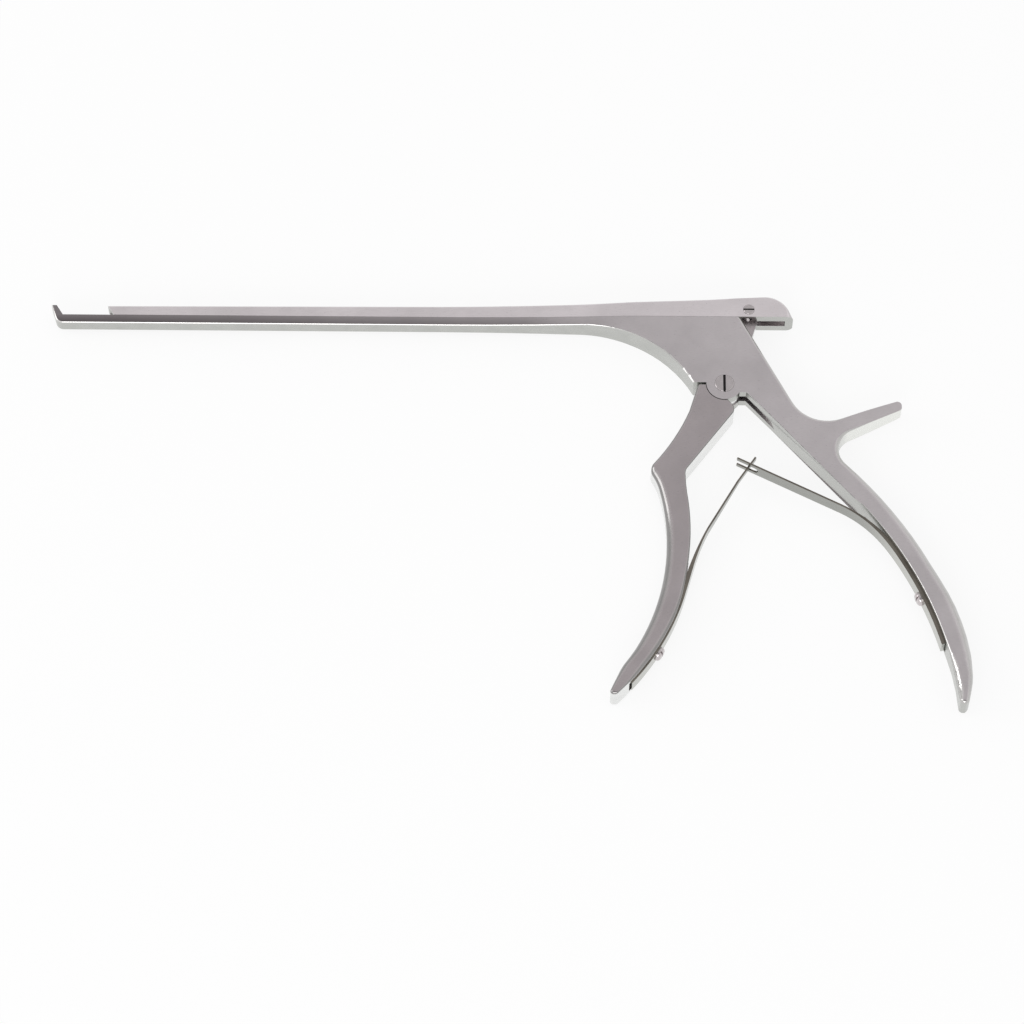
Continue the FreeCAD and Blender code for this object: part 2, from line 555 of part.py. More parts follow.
def build_frame():
    body = new_body("frame_block")
    front = ("notch_back", "-notch_drop")
    touch = tangent_spot(front[0], front[1], "rear_front")
    foot_back = "(slide_height + base_height) * tan(foot_back_angle * 1 deg) - reach"
    sketch = new_sketch(body, "frame_outline")
    outline(sketch, [
        ("-reach", "seam + slide_height", "xy"),
        ("foot_land - reach", "seam + slide_height", "xy"),
        ("foot_land - reach + slide_height * " + JAW_LEAN, "seam", "xy"),
        ("head_back", "seam", "xy"),
        ("crotch_back", "-crotch_drop", "xy"),
        ("spur_back", "-spur_top_drop", "xy"),
        ("spur_back", "-spur_low_drop", "xy"),
        (curve_across("rear_back", "spur_root_drop"), "-spur_root_drop", "y"),
        (curve_across("rear_back", "rear_nose_drop"), "-rear_nose_drop", "y"),
        ("rear_tip_back", "-rear_bottom", "xy"),
        (curve_across("rear_front", "rear_bottom"), "-rear_bottom", "y"),
        (touch[0], touch[1], ""),
        front + ("xy",),
        ("boss_radius / 2", "-notch_drop", "xy"),
        ("-boss_radius / 2", "front_corner_rise", "xy"),
        ("-front_corner", "front_corner_rise", "xy"),
        ("-front_corner - front_curve * 0.88", "seam - base_height", "y"),
        (foot_back, "seam - base_height", "xy"),
    ], {
        7: curve_of("rear_back", "right"),
        10: curve_of("rear_front", "left", smooth_end=True),
        15: dict(radius="front_curve", turn="left", smooth_end=True),
    })
    pad(body, "frame_plate", sketch, "thickness")
    for name, places, radius in (
            ("crotch", [("crotch_back", "-crotch_drop")], "crotch_radius"),
            ("spur_root", [(curve_across("rear_back", "spur_root_drop"), "-spur_root_drop")],
             "spur_root_radius"),
            ("spur_tip", [("spur_back", "-spur_top_drop"), ("spur_back", "-spur_low_drop")],
             "spur_tip_radius"),
            ("rear_nose", [(curve_across("rear_back", "rear_nose_drop"), "-rear_nose_drop")],
             "rear_nose_ease"),
            ("rear_heel", [("rear_tip_back", "-rear_bottom")], "rear_heel_radius"),
            ("rear_toe", [(curve_across("rear_front", "rear_bottom"), "-rear_bottom")], "rear_toe_radius"),
            ("foot_heel", [(foot_back, "seam - base_height")], "foot_heel")):
        spots = [(number(x), number(y)) for x, y in places]
        fillet(body, name + "_round", upright_edges(body.Tip, *spots), radius)
    sketch = new_sketch(body, "boss_circle")
    ring(sketch, "0", "0", "boss_radius * 2")
    pad(body, "boss", sketch, "thickness")
    slim_the_shaft(body)
    body = soften(body, "frame", frame_edge)

    sketch = new_sketch(body, "spur_plan", "XZ_Plane", "0")
    for side, outer in (("+", "thickness + 1"), ("-", "-1")):
        flank = "thickness / 2 %s thickness / 2" % side
        tip = "thickness / 2 %s spur_tip_width / 2" % side
        outline(sketch, [("spur_taper_start", flank, "xy"), ("spur_back + 1", tip, "xy"),
                         ("spur_back + 1", outer, "xy"), ("spur_taper_start", outer, "xy")])
    pocket(body, "spur_taper", sketch, "spur_root_drop", symmetric=False, reverse=True)

    sketch = new_sketch(body, "lever_slot_outline")
    outline(sketch, [("-slot_front_top", "seam + 1", "xy"), ("-slot_front_low", "0", "xy"),
                     ("-slot_front_low", "-boss_radius - 2.4", "xy"), ("slit_across", "-slit_drop", "xy"),
                     ("slit_depth", "0.5", "xy"), ("slot_back_low", "2", "xy"),
                     ("slot_back_top", "slot_back_rise", "xy"), ("slot_back_top", "seam + 1", "xy")])
    pocket(body, "lever_slot", sketch, "slot_width")
    t_slot(body, "front_t_slot", "front_key")
    t_slot(body, "rear_t_slot", "rear_key")
    screw_holes(body, "pivot", "0", "0", "pivot_head", "pivot_head_height", "pivot_shank", "pivot_tail")
    leaf_groove(body, "rear_groove", "rear_front", "leaf_sink", "rear_leaf_foot", "rear_groove_top", " - 4")
    screw_pilot(body, "rear_pilot", "rear_front", "rear_screw_drop", "+")
    return body


def screw_pilot(body, name, curve, drop, inward):
    """Drill the hole for a leaf screw, from the bottom of its length out to the air."""
    start = "(%s_radius %s (leaf_sink + leaf_screw_length))" % (curve, inward)
    sketch = radial_sketch(body, name + "_circle", curve, drop, start, "180 deg" if inward == "+" else "0 deg")
    ring(sketch, "0", "0", "leaf_screw_shank + 2 * fit_gap")
    return pocket(body, name, sketch, "leaf_screw_length + 4", symmetric=False, reverse=True)


def lever_spot(along, across):
    """A place on the lever at rest: so far along it from the pivot, so far across it."""
    lean = "(%s)" % LEVER_LEAN
    return ("(%s) * sin(%s) + (%s) * cos(%s)" % (along, lean, across, lean),
            "(%s) * cos(%s) - (%s) * sin(%s)" % (along, lean, across, lean), "xy")


def handle_edge(spot, middle, box):
    drop = -spot.y
    if box.ZLength > 0.01 or (middle.x > -8.0 and middle.y > -6.5):
        return None
    if drop > number("front_nose_drop") + 0.5:
        wide = "grip_edge" if spot.x < -0.7 * drop + 37.5 else "inner_edge"
        return grow(number(wide), number("front_tip_edge"), (drop - number("front_nose_drop")) / 8)
    outer = math.hypot(spot.x - number("front_out_across"), spot.y - number("front_out_up"))
    if drop > number("knee_drop") - 3 and outer < number("front_out_radius") + 1.5:
        return grow(number("arm_edge"), number("grip_edge"), (drop - number("knee_drop") + 1) / 3)
    if spot.x < -number("shoulder_front") + 0.5 and spot.x < -0.55 * drop - 4.5 and drop < 30:
        return number("arm_edge")
    return grow(number("elbow_edge"), number("inner_edge"), (drop - 30) / 40)


def build_handle():
    body = new_body("handle_block")
    run_drop = "(knee_drop + knee_run)"
    sketch = new_sketch(body, "handle_outline")
    outline(sketch, [
        ("-shoulder_front", "-shoulder_drop", "xy"),
        ("-4", "-shoulder_drop", "xy"),
        ("0", "-4", "xy"),
        ("arm_back_top", "-arm_back_top_drop", "xy"),
        ("arm_back_across", "-arm_back_drop", "xy"),
        (curve_across("front_in", "elbow_drop"), "-elbow_drop", "y"),
        (curve_across("front_in", "front_bottom"), "-front_bottom", "y"),
        ("-front_tip_ahead", "-front_bottom", "xy"),
        (curve_across("front_out", "front_nose_drop"), "-front_nose_drop", "y"),
        (curve_across("front_out", run_drop), "-" + run_drop, "y"),
        ("-knee_across", "-knee_drop", "xy"),
        ("-arm_front_across", "-arm_front_drop", "xy"),
    ], {
        5: curve_of("front_in", "right"),
        8: curve_of("front_out", "left"),
        10: dict(radius="arm_bend_radius", turn="left"),
    })
    pad(body, "handle_plate", sketch, "thickness")
    for name, places, radius in (
            ("arm_back", [("arm_back_across", "-arm_back_drop")], "arm_back_radius"),
            ("elbow", [(curve_across("front_in", "elbow_drop"), "-elbow_drop")], "elbow_radius"),
            ("front_heel", [(curve_across("front_in", "front_bottom"), "-front_bottom")],
             "front_heel_radius"),
            ("front_toe", [("-front_tip_ahead", "-front_bottom")], "front_toe_radius"),
            ("front_nose", [(curve_across("front_out", "front_nose_drop"), "-front_nose_drop")],
             "front_nose_ease"),
            ("knee_ease", [(curve_across("front_out", run_drop), "-" + run_drop)], "knee_ease"),
            ("knee", [("-knee_across", "-knee_drop")], "knee_radius")):
        spots = [(number(x), number(y)) for x, y in places]
        fillet(body, name + "_round", upright_edges(body.Tip, *spots), radius)
    body = soften(body, "moving_handle", handle_edge)

    side_cut = "(thickness - lever_thickness) / 2"
    for name, lift, reverse in (("near_shoulder", "thickness", False), ("far_shoulder", "0", True)):
        sketch = new_sketch(body, name + "_circle", lift=lift)
        ring(sketch, "0", "0", "2 * (boss_radius + shoulder_gap)")
        pocket(body, name, sketch, side_cut, symmetric=False, reverse=reverse)
    sketch = new_sketch(body, "lever_hub_circle")
    ring(sketch, "0", "0", "2 * lever_hub")
    pad(body, "lever_hub_disc", sketch, "lever_thickness")
    sketch = new_sketch(body, "lever_outline")
    outline(sketch, [lever_spot("0", "-lever_half_width"), lever_spot("0", "lever_half_width"),
                     lever_spot("lever_end", "lever_half_width"),
                     lever_spot("lever_end", "-lever_half_width")])
    pad(body, "lever", sketch, "lever_thickness")
    half = "(drive_shank / 2 + drive_clearance)"
    centre = "(lever_slot_start + drive_shank / 2 + drive_clearance)"
    sketch = new_sketch(body, "drive_slot_outline")
    outline(sketch, [lever_spot("lever_end + 1", "-" + half), lever_spot(centre, "-" + half),
                     lever_spot(centre, half), lever_spot("lever_end + 1", half)])
    pocket(body, "drive_slot", sketch, "lever_thickness + 1")
    sketch = new_sketch(body, "drive_slot_end")
    ring(sketch, lever_spot(centre, "0")[0], lever_spot(centre, "0")[1], "2 * " + half)
    pocket(body, "drive_slot_round", sketch, "lever_thickness + 1")
    sketch = new_sketch(body, "pivot_hole_circle")
    ring(sketch, "0", "0", "pivot_shank + 2 * fit_gap")
    pocket(body, "pivot_hole", sketch, "thickness")
    leaf_groove(body, "front_groove", "front_in", "(-leaf_sink)", "front_leaf_foot", "front_groove_top", " + 4")
    screw_pilot(body, "front_pilot", "front_in", "front_screw_drop", "-")
    return body


def slide_edge(spot, middle, box):
    if middle.y < number("seam") + 1 or box.XLength < 0.01:
        return None
    if middle.x < -number("reach") + number("jaw_opening") + 4:
        return None
    if spot.x > 10:
        return grow(number("slide_edge"), number("slide_rear_edge"), (spot.x - 11) / 7)
    return number("slide_edge")


def build_slide():
    body = new_body("slide_block")
    low = "(seam + slide_gap)"
    top = "(seam + slide_height)"
    rise = "(slide_rise * 1 deg)"
    lean = "(slide_rear_lean * 1 deg)"
    climb_x = "(slide_rise_radius * sin(%s) - slide_rise_start)" % rise
    climb_y = "(%s + slide_rise_radius * (1 - cos(%s)))" % (top, rise)
    back = "((%s - seam + (slide_back - %s) * tan(%s)) / (sin(%s) + cos(%s) * tan(%s)))" % (
        climb_y, climb_x, rise, lean, lean, rise)
    sketch = new_sketch(body, "slide_outline")
    outline(sketch, [
        (SLIDE_FRONT + " + (slide_height - slide_gap) * " + JAW_LEAN, low, "xy"),
        ("slide_back - slide_gap / tan(%s)" % lean, low, "xy"),
        ("slide_back - %s * cos(%s)" % (back, lean), "seam + %s * sin(%s)" % (back, lean), "xy"),
        (climb_x, climb_y, "xy"),
        ("-slide_rise_start", top, "xy"),
        (SLIDE_FRONT, top, "xy"),
    ], {3: dict(radius="slide_rise_radius", turn="right")})
    pad(body, "slide_bar", sketch, "thickness")
    crown = (number("slide_back - %s * cos(%s)" % (back, lean)), number("seam + %s * sin(%s)" % (back, lean)))
    fillet(body, "crown_round", upright_edges(body.Tip, crown), "slide_crown")
    slim_the_shaft(body)
    body = soften(body, "slide", slide_edge)

    for name, key_front in (("front_t_key", "front_key"), ("rear_t_key", "rear_key")):
        sketch = new_sketch(body, name + "_section", "YZ_Plane", "-" + key_front)
        t_profile(sketch, "0", low)
        pad(body, name, sketch, "key_length", symmetric=False)
    sketch = new_sketch(body, "lever_room_outline")
    outline(sketch, [
        (DRIVE_ACROSS + " - slide_slot_ahead", "seam - 1", "xy"),
        (DRIVE_ACROSS + " + slide_slot_behind", "seam - 1", "xy"),
        (DRIVE_ACROSS + " + slide_slot_behind", "slide_slot_rear_rise", "xy"),
        (DRIVE_ACROSS + " + slide_slot_half", "slide_slot_rise", "xy"),
        (DRIVE_ACROSS + " - slide_slot_half", "slide_slot_rise", "xy"),
        (DRIVE_ACROSS + " - slide_slot_ahead", "slide_slot_front_rise", "xy"),
    ])
    pocket(body, "lever_room", sketch, "slot_width")
    sketch = new_sketch(body, "relief_outline")
    outline(sketch, box_corners(DRIVE_ACROSS + " - relief_ahead", DRIVE_ACROSS + " + relief_behind",
                                "seam - 1", low + " + relief_depth"))
    pocket(body, "relief", sketch, "relief_width")
    screw_holes(body, "drive", DRIVE_ACROSS, "drive_height", "drive_head", "drive_head_height",
                "drive_shank", "drive_tail")
    sketch = new_sketch(body, "cup_section", "YZ_Plane", SLIDE_FRONT + " + cup_depth")
    floor = low + " + cup_floor"
    outline(sketch, box_corners(floor, floor + " + cup_height", "thickness / 2 - cup_width / 2",
                                "thickness / 2 + cup_width / 2"))
    pocket(body, "cup", sketch, "cup_depth + 4", symmetric=False)
    long_edges = []
    for place, edge in enumerate(body.Tip.Shape.Edges, start=1):
        box = edge.BoundBox
        inside = abs(box.Center.z - number("thickness") / 2) < number("cup_width") / 2 + 0.01
        if (inside and box.XLength > 3 and box.YLength < 1e-5 and box.XMax < number(SLIDE_FRONT) + 8
                and number("cup_floor / 2") < box.YMin - number(low) < number("slide_height") - 0.2):
            long_edges.append("Edge%d" % place)
    fillet(body, "cup_round", (body.Tip, long_edges), "cup_round")
    return body


def build_cross_screw(label, x, y, size, slot, along_x):
    """A slotted screw across the head: tail in the far cheek, shank, and a head in the near cheek."""
    body = new_body(label)
    step = "(thickness / 2 - slot_width / 2)"
    under = "(thickness + head_proud - %s_head_height)" % size
    for name, lift, length, diameter in (
            ("tail", "tail_recess", step + " - tail_recess", size + "_tail"),
            ("shank", step, under + " - " + step, size + "_shank"),
            ("head", under, size + "_head_height", size + "_head")):
        sketch = new_sketch(body, "%s_%s_circle" % (size, name), lift=lift)
        ring(sketch, x, y, diameter)
        pad(body, "%s_%s" % (size, name), sketch, length, symmetric=False)
    top = number("thickness + head_proud")
    rim = [place for place, edge in enumerate(body.Tip.Shape.Edges, start=1)
           if edge.BoundBox.ZMin > top - 0.001]
    fillet(body, size + "_rim", (body.Tip, ["Edge%d" % rim[0]]), "screw_edge")
    wide = "(%s_head / 2 + 1)" % size
    thin = "(%s / 2)" % slot
    across, up = (wide, thin) if along_x else (thin, wide)
    sketch = new_sketch(body, size + "_slot_outline", lift="thickness + head_proud")
    outline(sketch, box_corners("%s - %s" % (x, across), "%s + %s" % (x, across),
                                "%s - %s" % (y, up), "%s + %s" % (y, up)))
    pocket(body, size + "_slot", sketch, "screw_slot_depth", symmetric=False)
    return body


def build_leaf_screw(label, curve, drop, inward):
    body = new_body(label)
    turned = "180 deg" if inward == "+" else "0 deg"
    outward = "-" if inward == "+" else "+"
    start = "(%s_radius %s (leaf_sink + leaf_screw_length))" % (curve, inward)
    length = "(leaf_screw_length + leaf_gap + leaf_thickness + leaf_screw_seat)"
    sketch = radial_sketch(body, label + "_shank_circle", curve, drop, start, turned)
    ring(sketch, "0", "0", "leaf_screw_shank")
    pad(body, label + "_shank", sketch, length, symmetric=False)
    seat = "(%s %s %s)" % (start, outward, length)
    sketch = radial_sketch(body, label + "_head_circle", curve, drop, seat, turned)
    ring(sketch, "0", "0", "leaf_screw_head")
    pad(body, label + "_head", sketch, "leaf_screw_dome", symmetric=False)
    rims = [(edge.Length, edge.CenterOfMass.x * (-1 if inward == "+" else 1), place)
            for place, edge in enumerate(body.Tip.Shape.Edges, start=1)
            if abs(edge.Length - math.pi * number("leaf_screw_head")) < 0.01]
    rim = max(rims, key=lambda item: item[1])
    fillet(body, label + "_dome", (body.Tip, ["Edge%d" % rim[2]]), "leaf_screw_round")
    sketch = radial_sketch(body, label + "_slot_outline", curve, drop,
                           "(%s %s leaf_screw_dome)" % (seat, outward), turned)
    outline(sketch, box_corners("-leaf_screw_slot / 2", "leaf_screw_slot / 2", "-leaf_screw_head",
                                "leaf_screw_head"))
    pocket(body, label + "_slot", sketch, "screw_slot_depth", symmetric=False)
    return body


def build_leaf(label, curve, sigma, drop):
    """A leaf spring: a clamped part in its groove, a bend, and a straight end.
    sigma is +1 where the bend follows the grip's curve, and -1 where it bends the other way."""
    body = new_body(label)
    plus, minus = ("+", "-") if sigma > 0 else ("-", "+")
    radius = curve + "_radius"
    floor = "(%s %s (leaf_sink - leaf_gap))" % (radius, plus)
    air = "(%s %s leaf_thickness)" % (floor, minus)
    middle = "(%s %s leaf_thickness / 2)" % (floor, minus)
    lean = "(%s_lean * 1 deg)" % label

    def on_curve(reach, sink):
        up = "((-%s_%s - %s_up) / %s)" % (label, sink, curve, radius)
        return ("%s_across + %s * sqrt(1 - %s ^ 2)" % (curve, reach, up),
                "%s_up + %s * %s" % (curve, reach, up), "xy")

    def after_bend(reach, run):
        centre = on_curve("(%s %s %s_bend)" % (middle, minus, label), "leave")
        return ("%s %s %s * sin(%s) %s %s * cos(%s)" % (centre[0], plus, reach, lean, minus, run, lean),
                "%s + %s * cos(%s) + %s * sin(%s)" % (centre[1], reach, lean, run, lean), "xy")

    outer_bend = "(%s_bend + leaf_thickness / 2)" % label
    inner_bend = "(%s_bend - leaf_thickness / 2)" % label
    turn, back = ("left", "right") if sigma > 0 else ("right", "left")
    sketch = new_sketch(body, label + "_outline")
    outline(sketch, [
        on_curve(floor, "foot"), on_curve(floor, "leave"),
        after_bend(outer_bend, "0"), after_bend(outer_bend, label + "_run"),
        after_bend(inner_bend, label + "_run"), after_bend(inner_bend, "0"),
        on_curve(air, "leave"), on_curve(air, "foot"),
    ], {
        0: dict(radius=floor, turn="left"),
        1: dict(radius=outer_bend, turn=turn),
        5: dict(radius=inner_bend, turn=back),
        6: dict(radius=air, turn="right"),
    })
    pad(body, label + "_strip", sketch, "leaf_width")
    inward = plus
    start = "(%s %s 2)" % (radius, inward)
    sketch = radial_sketch(body, label + "_hole_circle", curve, drop, start, "180 deg" if sigma > 0 else "0 deg")
    ring(sketch, "0", "0", "leaf_screw_shank + 2 * fit_gap")
    pocket(body, label + "_hole", sketch, "5", symmetric=False, reverse=True)
    tip = after_bend(label + "_bend", label + "_run")
    return body, tip


def build_rear_leaf():
    body, tip = build_leaf("rear_leaf", "rear_front", 1, "rear_screw_drop")
    sketch = new_sketch(body, "fork_outline", "XZ_Plane", "20")
    end = "%s + fork_depth - fork_slot / 2" % tip[0]
    outline(sketch, [("%s - 3" % tip[0], "thickness / 2 + fork_slot / 2", "xy"),
                     ("%s - 3" % tip[0], "thickness / 2 - fork_slot / 2", "xy"),
                     (end, "thickness / 2 - fork_slot / 2", "xy"),
                     (end, "thickness / 2 + fork_slot / 2", "xy")])
    pocket(body, "fork", sketch, "16", symmetric=False, reverse=True)
    sketch = new_sketch(body, "fork_end", "XZ_Plane", "20")
    ring(sketch, end, "thickness / 2", "fork_slot")
    pocket(body, "fork_round", sketch, "16", symmetric=False, reverse=True)
    return body


def build_front_leaf():
    body, tip = build_leaf("front_leaf", "front_in", -1, "front_screw_drop")
    sketch = new_sketch(body, "tongue_outline", "YZ_Plane", "0")
    for side, outer in (("+", "thickness"), ("-", "0")):
        wide = "thickness / 2 %s leaf_width / 2" % side
        slim = "thickness / 2 %s tongue_width / 2" % side
        outline(sketch, [("-taper_start", wide, "xy"), ("-tongue_start", slim, "xy"), ("-10", slim, "xy"),
                         ("-10", outer, "xy"), ("-taper_start", outer, "xy")])
    pocket(body, "tongue", sketch, "100")
    return body


builders = [
    build_frame,
    build_handle,
    build_slide,
    lambda: build_cross_screw("pivot_screw", "0", "0", "pivot", "pivot_drive_slot", False),
    lambda: build_cross_screw("drive_screw", DRIVE_ACROSS, "drive_height", "drive", "drive_drive_slot", True),
    build_rear_leaf,
    build_front_leaf,
    lambda: build_leaf_screw("rear_leaf_screw", "rear_front", "rear_screw_drop", "+"),
    lambda: build_leaf_screw("front_leaf_screw", "front_in", "front_screw_drop", "-"),
]

nodes = [build() for build in builders]
doc.recompute()
for item in doc.Objects:
    if "Invalid" in item.State or "Error" in item.State:
        raise RuntimeError("%s: %s" % (item.Label, item.State))
for node in nodes:
    shape = node.Shape
    if shape.isNull() or not shape.isValid() or len(shape.Solids) != 1:
        raise RuntimeError("%s is not one sound solid" % node.Label)
    shape.exportStep("parts/%s.step" % node.Label)
    print(node.Label, round(shape.Volume, 1), shape.BoundBox)
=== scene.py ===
import json
import math

import bpy
import mathutils
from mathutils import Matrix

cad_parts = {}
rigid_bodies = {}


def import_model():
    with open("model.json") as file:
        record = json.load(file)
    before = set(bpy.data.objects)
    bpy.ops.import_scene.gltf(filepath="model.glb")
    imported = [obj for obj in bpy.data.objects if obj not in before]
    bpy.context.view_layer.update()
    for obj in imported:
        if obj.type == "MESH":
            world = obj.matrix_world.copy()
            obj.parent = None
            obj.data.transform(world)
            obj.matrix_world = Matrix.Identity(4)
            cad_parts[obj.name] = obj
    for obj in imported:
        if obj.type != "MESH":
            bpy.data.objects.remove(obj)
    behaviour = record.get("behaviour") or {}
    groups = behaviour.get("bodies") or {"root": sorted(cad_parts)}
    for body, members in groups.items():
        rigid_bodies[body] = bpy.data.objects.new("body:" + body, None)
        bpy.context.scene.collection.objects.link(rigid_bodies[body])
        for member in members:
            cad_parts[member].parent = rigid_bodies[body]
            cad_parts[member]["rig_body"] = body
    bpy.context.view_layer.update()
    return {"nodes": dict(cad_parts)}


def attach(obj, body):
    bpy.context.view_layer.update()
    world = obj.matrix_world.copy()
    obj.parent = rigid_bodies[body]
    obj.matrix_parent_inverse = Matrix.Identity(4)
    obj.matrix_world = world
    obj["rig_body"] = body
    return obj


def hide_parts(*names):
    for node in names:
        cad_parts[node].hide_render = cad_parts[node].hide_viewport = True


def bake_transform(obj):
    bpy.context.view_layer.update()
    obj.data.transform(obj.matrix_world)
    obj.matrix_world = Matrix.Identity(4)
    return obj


bl_info = {
    "name": "Bone rongeur",
    "version": (1, 0, 0),
    "blender": (4, 5, 0),
    "location": "View3D > Sidebar > Rongeur",
    "description": "Dresses the packed bone rongeur in satin and polished steel",
    "category": "Object",
}

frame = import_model()

# Plane through the middle of the handles, which is also half of their thickness, in metres.
MIDDLE = 0.0043

# Middle line of each leaf spring where it bends, in metres: last place that stays clamped and
# first place that is straight. They come from the leaf sizes of the part's source.
REAR_BEND = ((0.0516, -0.0571, 0.0043), (0.0351, -0.0410, 0.0043))
FRONT_BEND = ((-0.0129, -0.0700, 0.0043), (-0.0047, -0.0496, 0.0043))

# Each grip's curves in the XY plane, in metres: centre and radius, as in the part's source.
REAR_FRONT = ((-0.0511, -0.1192), 0.1200)
REAR_BACK = ((-0.0490, -0.1171), 0.1245)
FRONT_IN = ((-0.0888, -0.0500), 0.0786)
FRONT_OUT = ((-0.0903, -0.0540), 0.0720)

# The slide's crown: centre and radius of its arc, and how its slope rises and its rear leans.
SLIDE_CROWN = ((0.01325, 0.0230), 0.0080)
SLIDE_RISE = math.radians(5.5)
SLIDE_LEAN = math.radians(62.5)

# How many times wider a grip's rounded edge gets than its strip on the solid. The tables go by
# millimetres below the pivot: rear handle's front edge and back, moving grip's inner and finger side.
REAR_CRISP = ((40, 1.0), (56, 0.7), (71, 0.45), (85, 0.4), (91, 0.8), (97, 1.75), (104, 1.75), (107, 1.0))
REAR_ROUND = ((27, 1.0), (42, 1.5), (60, 1.6), (85, 1.7), (93, 1.4), (98.5, 1.0))
INNER_ROUND = ((33, 1.0), (60, 1.4), (85, 2.6), (97, 2.9), (103, 1.0))
FINGER_ROUND = ((36, 1.0), (50, 1.22), (75, 1.4), (90, 1.4), (95.5, 1.0))
REAR_CRISP_STRIP, REAR_ROUND_STRIP = 0.00123, 0.0024
INNER_STRIP, FINGER_STRIP = 0.0006, 0.00225

# Where the rear handle and the moving grip begin, and half the width of the groove for a leaf.
REAR_GRIP_LEFT, REAR_GRIP_TOP, REAR_HOLLOW_TOP = 0.0385, -0.0265, -0.0399
MOVING_GRIP_TOP, MOVING_GRIP_RIGHT = -0.031, 0.0
GROOVE_HALF = 0.00262
# The hollow beside a leaf, by distance from the grip's curve: the groove's lip, where the hollow is
# full and where it ends.
REAR_LIP, REAR_HOLLOW_FULL, REAR_HOLLOW_END = 0.0009, 0.0013, 0.003
MOVING_LIP, MOVING_HOLLOW_FULL, MOVING_HOLLOW_END = 0.0007, 0.0009, 0.0026
# Metres below the pivot where the moving grip's hollow and the rear handle's bulge come and go, and
# how deep the bulge reaches past the rounded strip.
MOVING_HOLLOW_COMES, MOVING_HOLLOW_GOES = (0.031, 0.037), (0.060, 0.080)
BULGE_COMES, BULGE_GOES, BULGE_DEPTH = (0.060, 0.076), (0.082, 0.098), 0.002

# The slide's top is raised, by millimetres along X, above a height that also goes by X.
SLIDE_LIFT = ((-192, 0.0), (-180, 0.2), (-140, 0.36), (-110, 0.42), (-90, 0.62), (-70, 0.88), (-51, 1.18),
              (-38, 1.42), (-28, 1.5), (-18, 1.32), (-8, 0.95), (2, 0.4), (8, 0.1), (12, 0.0))
SLIDE_LIFT_ABOVE = ((-195, 25.3), (-40, 25.3), (-20, 26.6), (2, 28.3), (30, 28.3))
SLIDE_TOP = 0.0308408
# The lever's slot inside the slide stays where it is.
LEVER_SLOT_HALF, LEVER_SLOT_TOP = 0.0016, 0.0296
# The slide's rear edges: where they begin, the strip of their rounding, and how much it shrinks.
SLIDE_REAR_START, SLIDE_REAR_FULL, SLIDE_REAR_LOW = -0.004, 0.006, 0.0241
SLIDE_REAR_STRIP, SLIDE_REAR_SHRINK = 0.00206, 0.6

# Middle line of each leaf spring: clamped arc, then a bend, then a straight run with its outward
# normal. Side is +1 where the grip lies outside the arcs. Proud is how much thicker the foot is, and
# bow is how far the straight run bulges.
REAR_LINE = {
    "clamp": (REAR_FRONT[0], 0.12052), "side": 1.0, "leave": -0.05673,
    "bend": ((0.016048, -0.078501), 0.042), "normal": (0.45243, 0.89180), "far": 1.0,
    "proud": 0.0005, "bow": 0.0}
FRONT_LINE = {
    "clamp": (FRONT_IN[0], 0.07808), "side": -1.0, "leave": -0.06987,
    "bend": ((0.062143, -0.089715), 0.078), "normal": (-0.85717, 0.51504), "far": -1.0,
    "proud": 0.0005, "bow": 0.0016}
LEAF_HALF = 0.0005
# Where along its straight run a leaf's bow comes and goes, the share of it that goes, and how far
# before that run it starts, as a share of the bend's radius.
BOW_COMES, BOW_GOES, BOW_GONE, BOW_START = (0.0, 0.034), (0.034, 0.060), 0.6, 0.25
# A leaf screw's head is what lies farther than this from its leaf's middle line.
SCREW_SEAT = 0.00048
LEAF_EDGE_BREAK, SCREW_EDGE_BREAK = 0.00008, 0.00006

WELD_DISTANCE = 0.000002
FLAT_ANGLE, BEVEL_ANGLE, SMOOTH_ANGLE = math.radians(0.2), math.radians(28), math.radians(24)

# Places in metres where a finish changes, each as where the change begins and is full: the painted shade
# on the shaft's side, its growth towards the jaw and the painted highlight on the shaft's edge along X, the
# painted light on the spur's narrow faces along X and Y, the free end of the leaves along Y, and the
# painted shade in the slots of the two large screws along Z.
SHAFT_SHADE_ALONG, SHAFT_SHADE_AHEAD, SHAFT_EDGE_HIGHLIGHT = (-0.032, -0.062), (-0.05, -0.19), (-0.02, -0.05)
SPUR_LIGHT_X, SPUR_LIGHT_Y = (0.034, 0.038), (-0.024, -0.02)
SPRING_FREE = (-0.058, -0.046)
SLOT_SHADE_MOUTH, SLOT_SHADE_BOTTOM = (0.0085, 0.0083), (0.0076, 0.0078)
# Colours that parts of a finish darken towards: painted shade for the shaft and the screw slots, and a
# greyer free end for the leaves.
SHAFT_SHADE_COLOUR = (0.1, 0.085, 0.09)
DARK_SPRING = (0.14, 0.143, 0.135)
SLOT_SHADE_COLOUR = (0.03, 0.028, 0.028)

# Studio: the greyer places overhead (towards, shade, where the grey begins and is full), the lamps
# (place, side, watts) and where they aim, and the camera.
GREY_PLACES = (((0.0, 0.454, 0.891), (0.7, 0.695, 0.7), 0.75, 0.98),
               ((0.0, -0.454, 0.891), (0.3, 0.29, 0.3), 0.84, 0.985))
LAMPS = (("soft_front", (-0.25, -1.4, 0.75), 0.8, 5.5),
         ("soft_left", (-1.4, 0.1, 0.6), 0.8, 4.0))
LAMPS_AIM = (-0.05, -0.03, 0.0)
ROOM_STRENGTH = 0.9
# The floor lies just under the piece. Its paper takes the shadow, and the share of white over it is
# what a camera sees.
FLOOR_HEIGHT = -0.00005
FLOOR_PAPER = (0.97, 0.97, 0.97, 1.0)
FLOOR_WHITE = 0.86
CAMERA_TILT, CAMERA_ROLL = math.radians(63.0), math.radians(0.45)
SENSOR_WIDTH = 36.0
PICTURE_WIDTH = 1024.0
# The near face of the pivot screw, and its place on the picture from the left and the top.
PIVOT_FACE = (0.0, 0.0, 0.0086)
PIVOT_PLACE = (724.5, 383.2)


